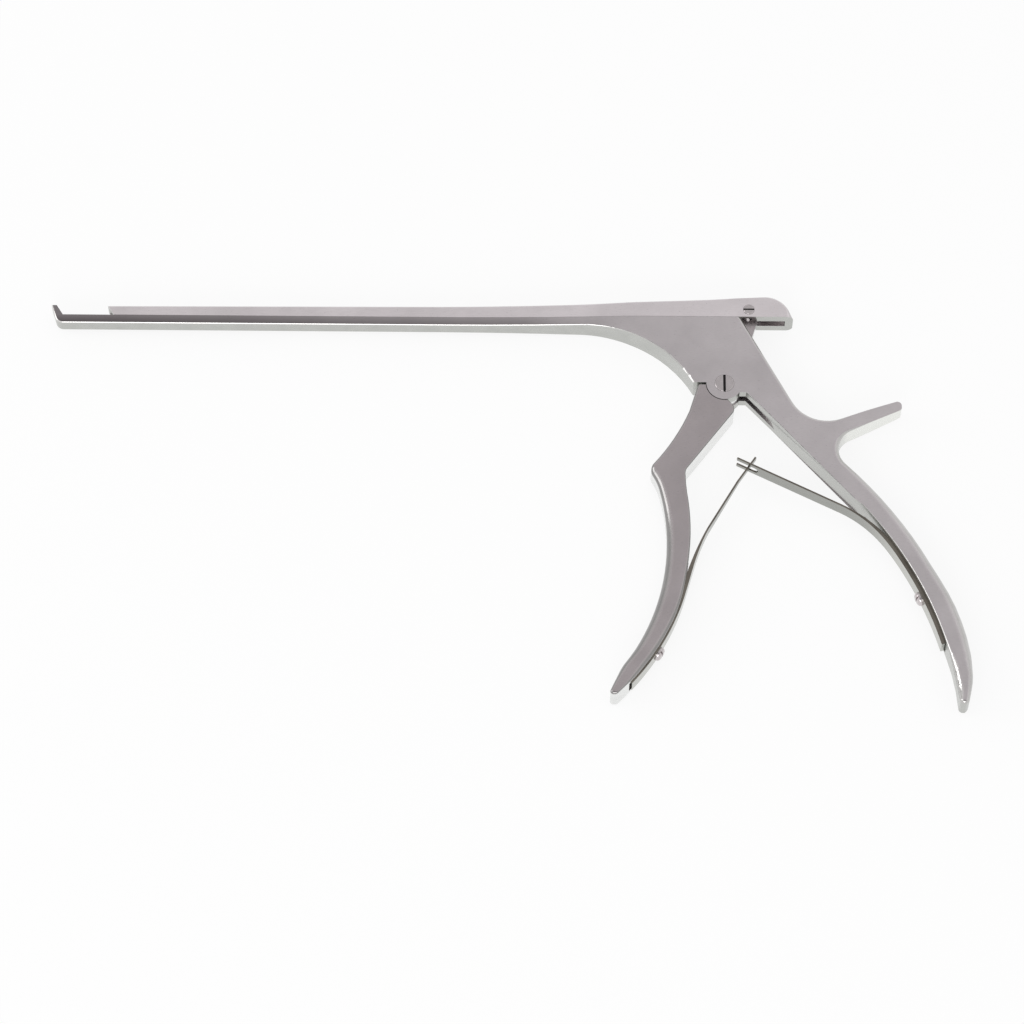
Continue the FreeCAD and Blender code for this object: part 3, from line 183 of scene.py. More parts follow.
class RongeurSizes(bpy.types.PropertyGroup):
    grip_hollow: bpy.props.FloatProperty(
        name="Grip hollow", description="Inner side of each grip, ground back beside its leaf spring",
        default=0.0008, min=0.0, unit="LENGTH")
    back_bulge: bpy.props.FloatProperty(
        name="Back bulge", description="How much fuller the rear handle's back is at its middle",
        default=0.0009, min=0.0, unit="LENGTH")
    leaf_tip: bpy.props.FloatProperty(
        name="Leaf tip", description="Thickness of the leaf springs past their bend",
        default=0.0006, min=0.0002, unit="LENGTH")
    edge_break: bpy.props.FloatProperty(
        name="Edge break", description="Width of the fine polish on the crisp edges",
        default=0.00016, min=0.0, unit="LENGTH")
    leaf_cuts: bpy.props.IntProperty(
        name="Leaf cuts", description="Cuts along the part of a leaf spring that bends", default=28, min=4)
    seam: bpy.props.FloatProperty(
        name="Seam", description="Height of the sliding face over the pivot", default=0.0237, unit="LENGTH")
    base_height: bpy.props.FloatProperty(
        name="Base height", description="Lower half of the shaft", default=0.0028, unit="LENGTH")
    floor_size: bpy.props.FloatProperty(
        name="Floor size", description="Side of the floor sheet", default=6.0, min=1.0, unit="LENGTH")
    camera_distance: bpy.props.FloatProperty(
        name="Camera distance", description="From the pivot screw to the camera", default=1.395,
        min=0.3, unit="LENGTH")
    lens: bpy.props.FloatProperty(
        name="Lens", description="Focal length on a 36 mm wide sensor, in millimetres",
        default=158.2, min=20.0)


class RongeurFinishes(bpy.types.PropertyGroup):
    frame_satin: bpy.props.FloatVectorProperty(
        name="Frame satin", description="Side faces of the frame, ground to a satin finish",
        subtype="COLOR", size=3, default=(0.63, 0.59, 0.6), min=0.0, max=1.0)
    # Painted light: the slide's side faces get a lighter satin than the frame's coplanar side faces.
    slide_satin_painted_light: bpy.props.FloatVectorProperty(
        name="Slide satin", description="Side faces of the slide, ground finer",
        subtype="COLOR", size=3, default=(0.84, 0.785, 0.8), min=0.0, max=1.0)
    handle_satin: bpy.props.FloatVectorProperty(
        name="Handle satin", description="Side faces of the moving handle",
        subtype="COLOR", size=3, default=(0.5, 0.455, 0.462), min=0.0, max=1.0)
    polished: bpy.props.FloatVectorProperty(
        name="Frame edges", description="Polished roundings of the frame",
        subtype="COLOR", size=3, default=(0.54, 0.53, 0.52), min=0.0, max=1.0)
    slide_edge: bpy.props.FloatVectorProperty(
        name="Slide edges", description="Polished roundings of the slide",
        subtype="COLOR", size=3, default=(0.62, 0.59, 0.6), min=0.0, max=1.0)
    handle_edge: bpy.props.FloatVectorProperty(
        name="Handle edges", description="Polished roundings of the moving handle",
        subtype="COLOR", size=3, default=(0.31, 0.302, 0.298), min=0.0, max=1.0)
    under: bpy.props.FloatVectorProperty(
        name="Underside", description="Narrow faces that were only machined",
        subtype="COLOR", size=3, default=(0.48, 0.485, 0.465), min=0.0, max=1.0)
    arm_back: bpy.props.FloatVectorProperty(
        name="Arm back", description="Narrow faces of the moving handle, polished",
        subtype="COLOR", size=3, default=(0.78, 0.785, 0.775), min=0.0, max=1.0)
    spring: bpy.props.FloatVectorProperty(
        name="Spring steel", description="Faces of the leaf springs",
        subtype="COLOR", size=3, default=(0.56, 0.565, 0.53), min=0.0, max=1.0)
    # Painted shade: the edges of the leaf springs are given a dark colour.
    spring_edge_shade: bpy.props.FloatVectorProperty(
        name="Spring edge", description="Edges of the leaf springs, darkened when they were hardened",
        subtype="COLOR", size=3, default=(0.16, 0.145, 0.125), min=0.0, max=1.0)
    screw: bpy.props.FloatVectorProperty(
        name="Screw steel", description="Screw heads",
        subtype="COLOR", size=3, default=(0.62, 0.575, 0.58), min=0.0, max=1.0)


def deselect():
    if bpy.context.object is not None and bpy.context.object.mode != "OBJECT":
        bpy.ops.object.mode_set(mode="OBJECT")
    bpy.ops.object.select_all(action="DESELECT")


def make_active(piece):
    deselect()
    piece.select_set(True)
    bpy.context.view_layer.objects.active = piece


def copy_of(node, name):
    """A copy of a CAD node with its loose triangles joined and its flat faces made whole."""
    source = frame["nodes"][node]
    piece = bpy.data.objects.new(name, source.data.copy())
    piece.data.name = name
    bpy.context.scene.collection.objects.link(piece)
    make_active(piece)
    bpy.ops.object.mode_set(mode="EDIT")
    bpy.ops.mesh.select_all(action="SELECT")
    bpy.ops.mesh.remove_doubles(threshold=WELD_DISTANCE)
    bpy.ops.mesh.customdata_custom_splitnormals_clear()
    bpy.ops.mesh.dissolve_limited(angle_limit=FLAT_ANGLE)
    bpy.ops.object.mode_set(mode="OBJECT")
    return piece


def reshape(piece, rule):
    """Move each corner of a piece's mesh to where the rule says."""
    for corner in piece.data.vertices:
        corner.co = rule(corner.co.copy())
    piece.data.update()


def ease(value, low, high):
    """From 0 at low to 1 at high, without a corner at either end."""
    share = min(1.0, max(0.0, (value - low) / (high - low)))
    return share * share * (3.0 - 2.0 * share)


def from_centre(co, centre):
    """Distance from a curve's centre, and the direction away from it."""
    away = mathutils.Vector((co.x - centre[0], co.y - centre[1], 0.0))
    return away.length, away.normalized()


def between(value, table):
    """Straight lines between the table's pairs of place and value."""
    for (low, first), (high, second) in zip(table, table[1:]):
        if value <= high:
            return first + (second - first) * min(1.0, max(0.0, (value - low) / (high - low)))
    return table[-1][1]


def swell(co, curve, side, strip, table):
    """Widen a grip's rounded edge: its strip grows from the sharp corner that it stands for.
    Side is +1 where the metal lies inside the curve."""
    reach, away = from_centre(co, curve[0])
    inside = (curve[1] - reach) * side
    beside = MIDDLE - abs(co.z - MIDDLE)
    if not (-0.0001 < inside < strip and beside < strip):
        return co
    wider = between(-co.y * 1000, table)
    co = co - away * side * inside * (wider - 1.0)
    co.z = MIDDLE + math.copysign(MIDDLE - beside * wider, co.z - MIDDLE)
    return co


def rear_grip_rule(co):
    """Hollow the grip's front face by the leaf, keep its edge crisp there, and make its back rounder
    and fuller."""
    if co.x < REAR_GRIP_LEFT or co.y > REAR_GRIP_TOP:
        return co
    if co.y < REAR_HOLLOW_TOP:
        start = co.copy()
        co = swell(co, REAR_FRONT, -1.0, REAR_CRISP_STRIP, REAR_CRISP)
        reach, away = from_centre(start, REAR_FRONT[0])
        deep = reach - REAR_FRONT[1]
        in_groove = abs(co.z - MIDDLE) < GROOVE_HALF and deep > REAR_LIP
        if deep < REAR_HOLLOW_END and not in_groove:
            hollow = bpy.context.scene.rongeur_sizes.grip_hollow
            fade = 1.0 - ease(deep, REAR_HOLLOW_FULL, REAR_HOLLOW_END)
            co = co + away * hollow * fade
    reach, away = from_centre(co, REAR_BACK[0])
    inside = REAR_BACK[1] - reach
    fuller = bpy.context.scene.rongeur_sizes.back_bulge
    fuller *= ease(-co.y, *BULGE_COMES) * (1.0 - ease(-co.y, *BULGE_GOES))
    fuller *= 1.0 - ease(inside, REAR_ROUND_STRIP, REAR_ROUND_STRIP + BULGE_DEPTH)
    return swell(co, REAR_BACK, 1.0, REAR_ROUND_STRIP, REAR_ROUND) + away * fuller


def slide_rule(co):
    """Raise the top of the slide's long slope, inside the solid's height, and tighten its rear edges."""
    x = co.x * 1000
    start, co = co, tighten_rear(co)
    clear_of_slot = abs(start.z - MIDDLE) > LEVER_SLOT_HALF or start.y > LEVER_SLOT_TOP
    if start.y > between(x, SLIDE_LIFT_ABOVE) / 1000 and clear_of_slot:
        co.y += between(x, SLIDE_LIFT) / 1000
    co.y = min(co.y, SLIDE_TOP)
    return co


def tighten_rear(co):
    """Round the slide's rear edges less: their strip shrinks towards the sharp corner."""
    if co.x < SLIDE_REAR_START or co.y < SLIDE_REAR_LOW:
        return co
    out = mathutils.Vector((co.x - SLIDE_CROWN[0][0], co.y - SLIDE_CROWN[0][1], 0.0))
    slope = mathutils.Vector((-math.sin(SLIDE_RISE), math.cos(SLIDE_RISE), 0.0))
    rear = mathutils.Vector((math.sin(SLIDE_LEAN), math.cos(SLIDE_LEAN), 0.0))
    if out.cross(slope).z <= 0.0:
        normal = slope
    elif out.cross(rear).z >= 0.0:
        normal = rear
    else:
        normal = out.normalized()
    inside = SLIDE_CROWN[1] - out.dot(normal)
    beside = MIDDLE - abs(co.z - MIDDLE)
    if not (-0.00005 < inside < SLIDE_REAR_STRIP and beside < SLIDE_REAR_STRIP):
        return co
    keep = 1.0 - SLIDE_REAR_SHRINK * ease(co.x, SLIDE_REAR_START, SLIDE_REAR_FULL)
    co = co + normal * inside * (1.0 - keep)
    co.z = MIDDLE + math.copysign(MIDDLE - beside * keep, co.z - MIDDLE)
    return co


def moving_grip_rule(co):
    """Round the moving grip more towards its tip, and hollow its inner side by the leaf."""
    if co.y > MOVING_GRIP_TOP or co.x > MOVING_GRIP_RIGHT:
        return co
    co = swell(co, FRONT_IN, 1.0, INNER_STRIP, INNER_ROUND)
    co = swell(co, FRONT_OUT, -1.0, FINGER_STRIP, FINGER_ROUND)
    reach, away = from_centre(co, FRONT_IN[0])
    deep = FRONT_IN[1] - reach
    in_groove = abs(co.z - MIDDLE) < GROOVE_HALF and deep > MOVING_LIP
    if deep < MOVING_HOLLOW_END and not in_groove:
        share = 1.0 - ease(deep, MOVING_HOLLOW_FULL, MOVING_HOLLOW_END)
        share *= ease(-co.y, *MOVING_HOLLOW_COMES) * (1.0 - ease(-co.y, *MOVING_HOLLOW_GOES))
        co = co - away * bpy.context.scene.rongeur_sizes.grip_hollow * share
    return co


def leaf_rule(line):
    """A leaf that is thick at its foot and thin past its bend."""
    sizes = bpy.context.scene.rongeur_sizes
    centre, radius = line["bend"]
    normal = mathutils.Vector((*line["normal"], 0.0))
    end = mathutils.Vector((centre[0], centre[1], 0.0)) + normal * radius

    def rule(co):
        along = (co - end).dot(mathutils.Vector((-normal.y, normal.x, 0.0)) * line["far"])
        reach, away = from_centre(co, line["clamp"][0])
        offset = (reach - line["clamp"][1]) * line["side"]
        grip_side = away * line["side"]
        if co.y > line["leave"] and along < 0.0:
            reach, grip_side = from_centre(co, centre)
            offset = reach - radius
        elif along >= 0.0:
            offset = (co - end).dot(normal)
            grip_side = normal
        thin = ease(co.y, line["leave"], end.y)
        if offset > 0.0:
            wanted = LEAF_HALF + (sizes.leaf_tip / 2 - LEAF_HALF) * thin
        else:
            foot = LEAF_HALF + line["proud"]
            wanted = foot + (sizes.leaf_tip / 2 - foot) * thin
        co = co + grip_side * offset * (wanted / LEAF_HALF - 1.0)
        run = along + radius * BOW_START
        if line["bow"] > 0.0 and run > 0.0:
            bulge = ease(run, *BOW_COMES) * (1.0 - BOW_GONE * ease(run, *BOW_GOES))
            co = co + normal * line["bow"] * bulge
        return co
    return rule


def leaf_screw_rule(line):
    """The head seated on the thicker foot of the leaf."""
    thicker = line["proud"]
    seat = line["clamp"][1] - line["side"] * SCREW_SEAT

    def rule(co):
        reach, away = from_centre(co, line["clamp"][0])
        over = (seat - reach) * line["side"]
        return co - away * line["side"] * thicker if over > 0.0 else co
    return rule


def finish_piece(piece, material, edge):
    """Break the crisp edges, shade the rounded faces smoothly and give the piece its finish."""
    make_active(piece)
    if edge > 0.0:
        bevel = piece.modifiers.new("Edge break", "BEVEL")
        bevel.width = edge
        bevel.segments = 2
        bevel.limit_method = "ANGLE"
        bevel.angle_limit = BEVEL_ANGLE
        bevel.use_clamp_overlap = True
        bevel.harden_normals = False
        bpy.ops.object.modifier_apply(modifier=bevel.name)
    bpy.ops.object.shade_smooth_by_angle(angle=SMOOTH_ANGLE)
    weighted = piece.modifiers.new("Even normals", "WEIGHTED_NORMAL")
    weighted.keep_sharp = True
    bpy.ops.object.modifier_apply(modifier=weighted.name)
    piece.data.materials.clear()
    piece.data.materials.append(material)


def new_material(name):
    """A metal with an empty shader; shader and tree are None when the material was made before."""
    material = bpy.data.materials.get(name)
    if material is not None:
        return material, None, None
    material = bpy.data.materials.new(name)
    material.use_nodes = True
    nodes = material.node_tree.nodes
    nodes.clear()
    output = nodes.new("ShaderNodeOutputMaterial")
    shader = nodes.new("ShaderNodeBsdfPrincipled")
    material.node_tree.links.new(shader.outputs["BSDF"], output.inputs["Surface"])
    shader.inputs["Metallic"].default_value = 1.0
    return material, shader, material.node_tree


def add(tree, kind, **values):
    """A new node with its settings."""
    node = tree.nodes.new(kind)
    for key, value in values.items():
        setattr(node, key, value)
    return node


def noise_along(tree, scale, detail, rough):
    """Noise drawn out by a mapping on Object coordinates: scale is per metre on each axis."""
    place = add(tree, "ShaderNodeTexCoord")
    mapping = add(tree, "ShaderNodeMapping")
    mapping.inputs["Scale"].default_value = scale
    noise = add(tree, "ShaderNodeTexNoise")
    noise.inputs["Scale"].default_value = 1.0
    noise.inputs["Detail"].default_value = detail
    noise.inputs["Roughness"].default_value = rough
    tree.links.new(place.outputs["Object"], mapping.inputs["Vector"])
    tree.links.new(mapping.outputs["Vector"], noise.inputs["Vector"])
    return noise.outputs["Fac"]


def spread(tree, value, low, high, out_low, out_high):
    """A value taken from one range to another, and held at its ends."""
    node = add(tree, "ShaderNodeMapRange")
    node.clamp = True
    tree.links.new(value, node.inputs["Value"])
    node.inputs["From Min"].default_value = low
    node.inputs["From Max"].default_value = high
    node.inputs["To Min"].default_value = out_low
    node.inputs["To Max"].default_value = out_high
    return node.outputs["Result"]


def maths(tree, operation, first, second):
    node = add(tree, "ShaderNodeMath", operation=operation)
    for place, value in enumerate((first, second)):
        if isinstance(value, float):
            node.inputs[place].default_value = value
        else:
            tree.links.new(value, node.inputs[place])
    return node.outputs["Value"]


def mixed(tree, factor, first, second):
    """The first colour where the factor is 0 and the second where it is 1."""
    node = add(tree, "ShaderNodeMix", data_type="RGBA")
    tree.links.new(factor, node.inputs[0])
    for place, value in ((6, first), (7, second)):
        if isinstance(value, (tuple, list)):
            node.inputs[place].default_value = (*value[:3], 1.0)
        else:
            tree.links.new(value, node.inputs[place])
    return node.outputs[2]


def facing(tree, axis, low, high):
    """1 on faces that look along an axis either way, falling to 0 as they turn from it."""
    geometry = add(tree, "ShaderNodeNewGeometry")
    parts = add(tree, "ShaderNodeSeparateXYZ")
    tree.links.new(geometry.outputs["Normal"], parts.inputs["Vector"])
    size = add(tree, "ShaderNodeMath", operation="ABSOLUTE")
    tree.links.new(parts.outputs[axis], size.inputs[0])
    return spread(tree, size.outputs["Value"], low, high, 0.0, 1.0)


def place_along(tree, axis):
    place = add(tree, "ShaderNodeTexCoord")
    parts = add(tree, "ShaderNodeSeparateXYZ")
    tree.links.new(place.outputs["Object"], parts.inputs["Vector"])
    return parts.outputs[axis]


def scaled(colour, share):
    return tuple(min(1.0, part * share) for part in colour)


def ground_steel(name, satin, edge, under, shaft=False):
    """Side faces ground to satin, polished roundings, and narrow faces left as machined. The frame also
    has painted shade on its shaft's side, a painted highlight on its shaft's edge and painted light on the
    spur's narrow faces."""
    material, shader, tree = new_material(name)
    if tree is None:
        return material
    side = facing(tree, "Z", 0.82, 0.985)
    narrow = maths(tree, "SUBTRACT", 1.0, facing(tree, "Z", 0.02, 0.3))
    streak = noise_along(tree, (700.0, 3600.0, 3600.0), 4.0, 0.6)
    grain = noise_along(tree, (5200.0, 5200.0, 5200.0), 2.0, 0.6)
    cloud = noise_along(tree, (60.0, 60.0, 60.0), 3.0, 0.55)
    wear = noise_along(tree, (190.0, 190.0, 190.0), 4.0, 0.6)
    ground = mixed(tree, spread(tree, cloud, 0.32, 0.68, 0.0, 1.0), scaled(satin, 0.92),
                   scaled(satin, 1.06))
    ground = mixed(tree, spread(tree, streak, 0.3, 0.7, 0.14, 0.0), ground, scaled(satin, 0.6))
    bright = mixed(tree, spread(tree, wear, 0.35, 0.7, 0.0, 1.0), edge, scaled(edge, 0.9))
    machined = mixed(tree, spread(tree, wear, 0.3, 0.7, 0.0, 1.0), under, scaled(under, 1.12))
    if shaft:
        # Painted shade: the shaft's side darkened towards its lower edge and towards the jaw.
        ground = painted_shaft_shade(tree, ground)
        # Painted highlight: the shaft's polished edges made brighter towards the jaw.
        ahead = spread(tree, place_along(tree, "X"), *SHAFT_EDGE_HIGHLIGHT, 0.0, 1.0)
        bright = mixed(tree, ahead, bright, scaled(edge, 1.4))
        # Painted light: the narrow faces at the spur made brighter.
        spur = maths(tree, "MULTIPLY", spread(tree, place_along(tree, "X"), *SPUR_LIGHT_X, 0.0, 1.0),
                     spread(tree, place_along(tree, "Y"), *SPUR_LIGHT_Y, 0.0, 1.0))
        machined = mixed(tree, spur, machined, scaled(under, 1.75))
    colour = mixed(tree, narrow, bright, machined)
    colour = mixed(tree, side, colour, ground)
    tree.links.new(colour, shader.inputs["Base Color"])
    rough_side = spread(tree, streak, 0.3, 0.7, 0.27, 0.36)
    rough_edge = spread(tree, wear, 0.3, 0.7, 0.12, 0.2)
    rough = maths(tree, "ADD", maths(tree, "MULTIPLY", side, rough_side),
                  maths(tree, "MULTIPLY", maths(tree, "SUBTRACT", 1.0, side), rough_edge))
    rough = maths(tree, "ADD", rough, maths(tree, "MULTIPLY", narrow, 0.1))
    tree.links.new(rough, shader.inputs["Roughness"])
    fine = add(tree, "ShaderNodeBump")
    fine.inputs["Strength"].default_value = 0.25
    fine.inputs["Distance"].default_value = 0.000012
    height = maths(tree, "MULTIPLY", maths(tree, "ADD", streak, grain), side)
    tree.links.new(height, fine.inputs["Height"])
    tree.links.new(fine.outputs["Normal"], shader.inputs["Normal"])
    return material


def painted_shaft_shade(tree, ground):
    """Painted shade on the lower half of the shaft: darker towards its lower edge and
    towards the jaw."""
    sizes = bpy.context.scene.rongeur_sizes
    along = spread(tree, place_along(tree, "X"), *SHAFT_SHADE_ALONG, 0.0, 1.0)
    ahead = spread(tree, place_along(tree, "X"), *SHAFT_SHADE_AHEAD, 0.2, 0.55)
    down = spread(tree, place_along(tree, "Y"), sizes.seam, sizes.seam - sizes.base_height, 0.1, 0.4)
    share = maths(tree, "MULTIPLY", maths(tree, "ADD", ahead, down), along)
    return mixed(tree, share, ground, SHAFT_SHADE_COLOUR)


def spring_steel():
    """Leaf springs, ground on their faces along their length, with painted shade on their edges and a
    greyer free end."""
    material, shader, tree = new_material("Spring steel")
    if tree is None:
        return material
    finish = bpy.context.scene.rongeur_finishes
    streak = noise_along(tree, (900.0, 900.0, 7000.0), 4.0, 0.6)
    cloud = noise_along(tree, (120.0, 120.0, 120.0), 3.0, 0.5)
    colour = mixed(tree, spread(tree, streak, 0.35, 0.65, 0.0, 1.0), scaled(finish.spring, 0.86),
                   tuple(finish.spring))
    colour = mixed(tree, spread(tree, cloud, 0.35, 0.75, 0.0, 0.3), colour, scaled(finish.spring, 0.75))
    free = spread(tree, place_along(tree, "Y"), *SPRING_FREE, 0.0, 0.45)
    colour = mixed(tree, free, colour, DARK_SPRING)
    # Painted shade on the leaves' edges.
    edge = mixed(tree, spread(tree, cloud, 0.35, 0.65, 0.0, 1.0), tuple(finish.spring_edge_shade),
                 scaled(finish.spring_edge_shade, 1.5))
    colour = mixed(tree, facing(tree, "Z", 0.6, 0.9), colour, edge)
    tree.links.new(colour, shader.inputs["Base Color"])
    tree.links.new(spread(tree, streak, 0.3, 0.7, 0.16, 0.28), shader.inputs["Roughness"])
    return material


def screw_steel():
    """Turned and polished screw heads, with painted shade at the height of the slots' bottoms."""
    material, shader, tree = new_material("Screw steel")
    if tree is None:
        return material
    finish = bpy.context.scene.rongeur_finishes
    cloud = noise_along(tree, (500.0, 500.0, 500.0), 4.0, 0.6)
    colour = mixed(tree, spread(tree, cloud, 0.35, 0.7, 0.0, 1.0), tuple(finish.screw),
                   scaled(finish.screw, 0.85))
    height = place_along(tree, "Z")
    # Painted shade inside the screw slots.
    painted_slot_shade = maths(tree, "MULTIPLY", spread(tree, height, *SLOT_SHADE_MOUTH, 0.0, 1.0),
                 spread(tree, height, *SLOT_SHADE_BOTTOM, 0.0, 1.0))
    colour = mixed(tree, painted_slot_shade, colour, SLOT_SHADE_COLOUR)
    tree.links.new(colour, shader.inputs["Base Color"])
    tree.links.new(spread(tree, cloud, 0.3, 0.7, 0.12, 0.24), shader.inputs["Roughness"])
    return material


def dress(node, material, edge, rule=None):
    """Put a finished piece in the place of a CAD node and let it ride on the node's body."""
    body = frame["nodes"][node]["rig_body"]
    piece = copy_of(node, node + "_dressed")
    if rule is not None:
        reshape(piece, rule)
    finish_piece(piece, material, edge)
    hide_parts(node)
    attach(piece, body)
    return piece


class RONGEUR_OT_frame(bpy.types.Operator):
    """Dress the frame with its shaft, spur and rear handle"""
    bl_idname = "rongeur.frame"
    bl_label = "Frame"

    def execute(self, context):
        finish = context.scene.rongeur_finishes
        steel = ground_steel("Frame steel", tuple(finish.frame_satin), tuple(finish.polished),
                             tuple(finish.under), shaft=True)
        dress("frame", steel, context.scene.rongeur_sizes.edge_break, rear_grip_rule)
        return {"FINISHED"}


class RONGEUR_OT_slide(bpy.types.Operator):
    """Dress the slide with its cutting cup"""
    bl_idname = "rongeur.slide"
    bl_label = "Slide"

    def execute(self, context):
        finish = context.scene.rongeur_finishes
        steel = ground_steel("Slide steel", tuple(finish.slide_satin_painted_light), tuple(finish.slide_edge),
                             tuple(finish.under))
        dress("slide", steel, context.scene.rongeur_sizes.edge_break, slide_rule)
        return {"FINISHED"}


class RONGEUR_OT_handle(bpy.types.Operator):
    """Dress the moving handle and its lever"""
    bl_idname = "rongeur.handle"
    bl_label = "Moving handle"

    def execute(self, context):
        finish = context.scene.rongeur_finishes
        steel = ground_steel("Handle steel", tuple(finish.handle_satin), tuple(finish.handle_edge),
                             tuple(finish.arm_back))
        dress("moving_handle", steel, context.scene.rongeur_sizes.edge_break,
              moving_grip_rule)
        return {"FINISHED"}


class RONGEUR_OT_screws(bpy.types.Operator):
    """Dress the four slotted screws"""
    bl_idname = "rongeur.screws"
    bl_label = "Screws"

    def execute(self, context):
        for node, rule in (("pivot_screw", None), ("drive_screw", None),
                           ("rear_leaf_screw", leaf_screw_rule(REAR_LINE)),
                           ("front_leaf_screw", leaf_screw_rule(FRONT_LINE))):
            dress(node, screw_steel(), SCREW_EDGE_BREAK, rule)
        return {"FINISHED"}


class RONGEUR_OT_leaves(bpy.types.Operator):
    """Dress the two leaf springs: thick at their foot and thin past the bend where they leave the handles
    """
    bl_idname = "rongeur.leaves"
    bl_label = "Leaf springs"

    def execute(self, context):
        sizes = context.scene.rongeur_sizes
        for node, clamp_body, (start, end), line in (
                ("rear_leaf", "frame_body", REAR_BEND, REAR_LINE),
                ("front_leaf", "handle_body", FRONT_BEND, FRONT_LINE)):
            piece = copy_of(node, node + "_dressed")
            start = mathutils.Vector(start)
            end = mathutils.Vector(end)
            along = end - start
            bpy.ops.object.mode_set(mode="EDIT")
            for cut in range(sizes.leaf_cuts + 1):
                bpy.ops.mesh.select_all(action="SELECT")
                bpy.ops.mesh.bisect(plane_co=start + along * cut / sizes.leaf_cuts,
                                    plane_no=along.normalized())
            bpy.ops.object.mode_set(mode="OBJECT")
            reshape(piece, leaf_rule(line))
            finish_piece(piece, spring_steel(), LEAF_EDGE_BREAK)
            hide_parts(node)
            tuple(start)
            tuple(end)
            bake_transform(piece)
        return {"FINISHED"}


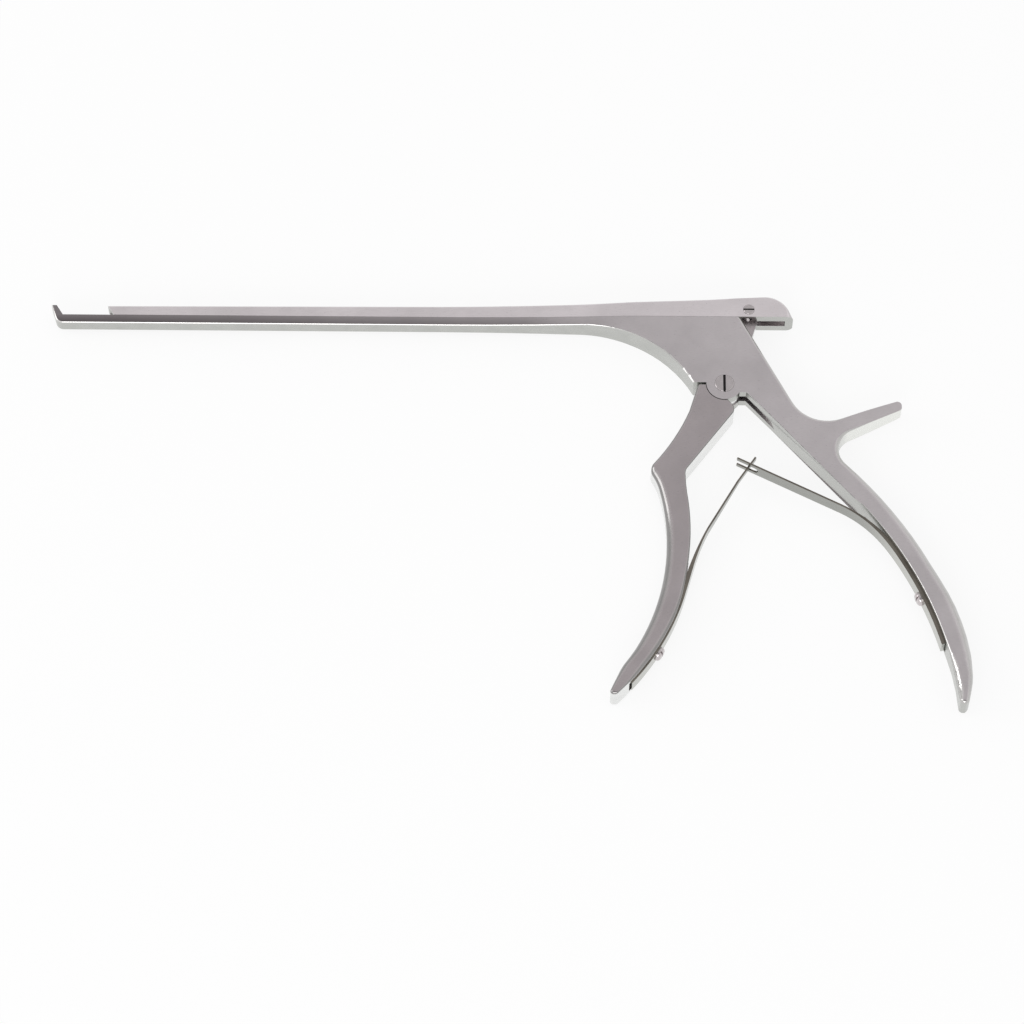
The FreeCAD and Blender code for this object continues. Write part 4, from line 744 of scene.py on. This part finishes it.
class RONGEUR_OT_stage(bpy.types.Operator):
    """Lay the white floor, hang the lights and place the camera"""
    bl_idname = "rongeur.stage"
    bl_label = "Stage"

    def execute(self, context):
        sizes = context.scene.rongeur_sizes
        deselect()
        bpy.ops.mesh.primitive_plane_add(size=sizes.floor_size, location=(0.0, 0.0, FLOOR_HEIGHT))
        floor = context.object
        floor.name = "floor"
        material = bpy.data.materials.new("Floor sheet")
        material.use_nodes = True
        tree = material.node_tree
        tree.nodes.clear()
        output = add(tree, "ShaderNodeOutputMaterial")
        paper = add(tree, "ShaderNodeBsdfDiffuse")
        paper.inputs["Color"].default_value = FLOOR_PAPER
        white = add(tree, "ShaderNodeEmission")
        white.inputs["Strength"].default_value = 1.0
        seen = self.seen_directly(tree)
        mix = add(tree, "ShaderNodeMixShader")
        tree.links.new(maths(tree, "MULTIPLY", seen, FLOOR_WHITE), mix.inputs["Fac"])
        tree.links.new(paper.outputs["BSDF"], mix.inputs[1])
        tree.links.new(white.outputs["Emission"], mix.inputs[2])
        tree.links.new(mix.outputs["Shader"], output.inputs["Surface"])
        floor.data.materials.append(material)

        self.world(context)
        self.lights(context)
        self.camera(context)
        context.scene.view_settings.view_transform = "Standard"
        return {"FINISHED"}

    def seen_directly(self, tree):
        """1 for the rays that show a white background: from the camera, off metal and through glass."""
        path = add(tree, "ShaderNodeLightPath")
        seen = maths(tree, "MAXIMUM", path.outputs["Is Camera Ray"], path.outputs["Is Glossy Ray"])
        return maths(tree, "MAXIMUM", seen, path.outputs["Is Transmission Ray"])

    def world(self, context):
        """A white studio, a little greyer overhead where the side faces look."""
        world = bpy.data.worlds.new("Studio")
        context.scene.world = world
        world.use_nodes = True
        tree = world.node_tree
        tree.nodes.clear()
        output = add(tree, "ShaderNodeOutputWorld")
        path = add(tree, "ShaderNodeLightPath")
        place = add(tree, "ShaderNodeTexCoord")
        room = add(tree, "ShaderNodeBackground")
        colour = (1.0, 1.0, 1.0)
        for towards, shade, low, high in GREY_PLACES:
            direction = add(tree, "ShaderNodeVectorMath", operation="DOT_PRODUCT")
            tree.links.new(place.outputs["Generated"], direction.inputs[0])
            direction.inputs[1].default_value = towards
            share = spread(tree, direction.outputs["Value"], low, high, 0.0, 1.0)
            colour = mixed(tree, share, colour, shade)
        tree.links.new(colour, room.inputs["Color"])
        room.inputs["Strength"].default_value = ROOM_STRENGTH
        white = add(tree, "ShaderNodeBackground")
        white.inputs["Strength"].default_value = 1.0
        mix = add(tree, "ShaderNodeMixShader")
        tree.links.new(path.outputs["Is Camera Ray"], mix.inputs["Fac"])
        tree.links.new(room.outputs["Background"], mix.inputs[1])
        tree.links.new(white.outputs["Background"], mix.inputs[2])
        tree.links.new(mix.outputs["Shader"], output.inputs["Surface"])

    def lights(self, context):
        for name, place, size, energy in LAMPS:
            bpy.ops.object.light_add(type="AREA", location=place)
            lamp = context.object
            lamp.name = name
            lamp.data.shape = "SQUARE"
            lamp.data.size = size
            lamp.data.energy = energy
            aim = mathutils.Vector(LAMPS_AIM) - mathutils.Vector(place)
            lamp.rotation_euler = aim.to_track_quat("-Z", "Y").to_euler()

    def camera(self, context):
        sizes = context.scene.rongeur_sizes
        forward = mathutils.Vector((0.0, math.cos(CAMERA_TILT), -math.sin(CAMERA_TILT)))
        up = mathutils.Vector((0.0, math.sin(CAMERA_TILT), math.cos(CAMERA_TILT)))
        right = mathutils.Vector((1.0, 0.0, 0.0))
        right_turned = right * math.cos(CAMERA_ROLL) + up * math.sin(CAMERA_ROLL)
        up_turned = up * math.cos(CAMERA_ROLL) - right * math.sin(CAMERA_ROLL)
        focal = sizes.lens / SENSOR_WIDTH
        # from the middle of the picture to the pivot screw, in picture widths
        across, down = ((place - PICTURE_WIDTH / 2) / PICTURE_WIDTH for place in PIVOT_PLACE)
        ray = forward + right_turned * across / focal - up_turned * down / focal
        place = mathutils.Vector(PIVOT_FACE) - ray * sizes.camera_distance
        bpy.ops.object.camera_add(location=place)
        camera = context.object
        camera.name = "camera"
        turn = mathutils.Matrix((right_turned, up_turned, -forward)).transposed()
        camera.rotation_euler = turn.to_euler()
        camera.data.sensor_width = SENSOR_WIDTH
        camera.data.lens = sizes.lens
        camera.data.clip_start = 0.05
        camera.data.clip_end = 20.0
        context.scene.camera = camera


class RONGEUR_PT_panel(bpy.types.Panel):
    """Lists the pieces of the rongeur"""
    bl_idname = "RONGEUR_PT_panel"
    bl_label = "Bone rongeur"
    bl_space_type = "VIEW_3D"
    bl_region_type = "UI"
    bl_category = "Rongeur"

    def draw(self, context):
        layout = self.layout
        for group in (context.scene.rongeur_sizes, context.scene.rongeur_finishes):
            for name in group.bl_rna.properties.keys():
                if name not in ("rna_type", "name"):
                    layout.prop(group, name)
        for operator in OPERATORS:
            layout.operator(operator.bl_idname)


OPERATORS = (RONGEUR_OT_frame, RONGEUR_OT_slide, RONGEUR_OT_handle, RONGEUR_OT_screws, RONGEUR_OT_leaves,
             RONGEUR_OT_stage)
CLASSES = (RongeurSizes, RongeurFinishes) + OPERATORS + (RONGEUR_PT_panel,)


def register():
    for item in CLASSES:
        bpy.utils.register_class(item)
    bpy.types.Scene.rongeur_sizes = bpy.props.PointerProperty(type=RongeurSizes)
    bpy.types.Scene.rongeur_finishes = bpy.props.PointerProperty(type=RongeurFinishes)


def unregister():
    del bpy.types.Scene.rongeur_finishes
    del bpy.types.Scene.rongeur_sizes
    for item in reversed(CLASSES):
        bpy.utils.unregister_class(item)


def main():
    register()
    bpy.ops.rongeur.frame()
    bpy.ops.rongeur.slide()
    bpy.ops.rongeur.handle()
    bpy.ops.rongeur.screws()
    bpy.ops.rongeur.leaves()
    bpy.ops.rongeur.stage()


if __name__ == "__main__":
    main()
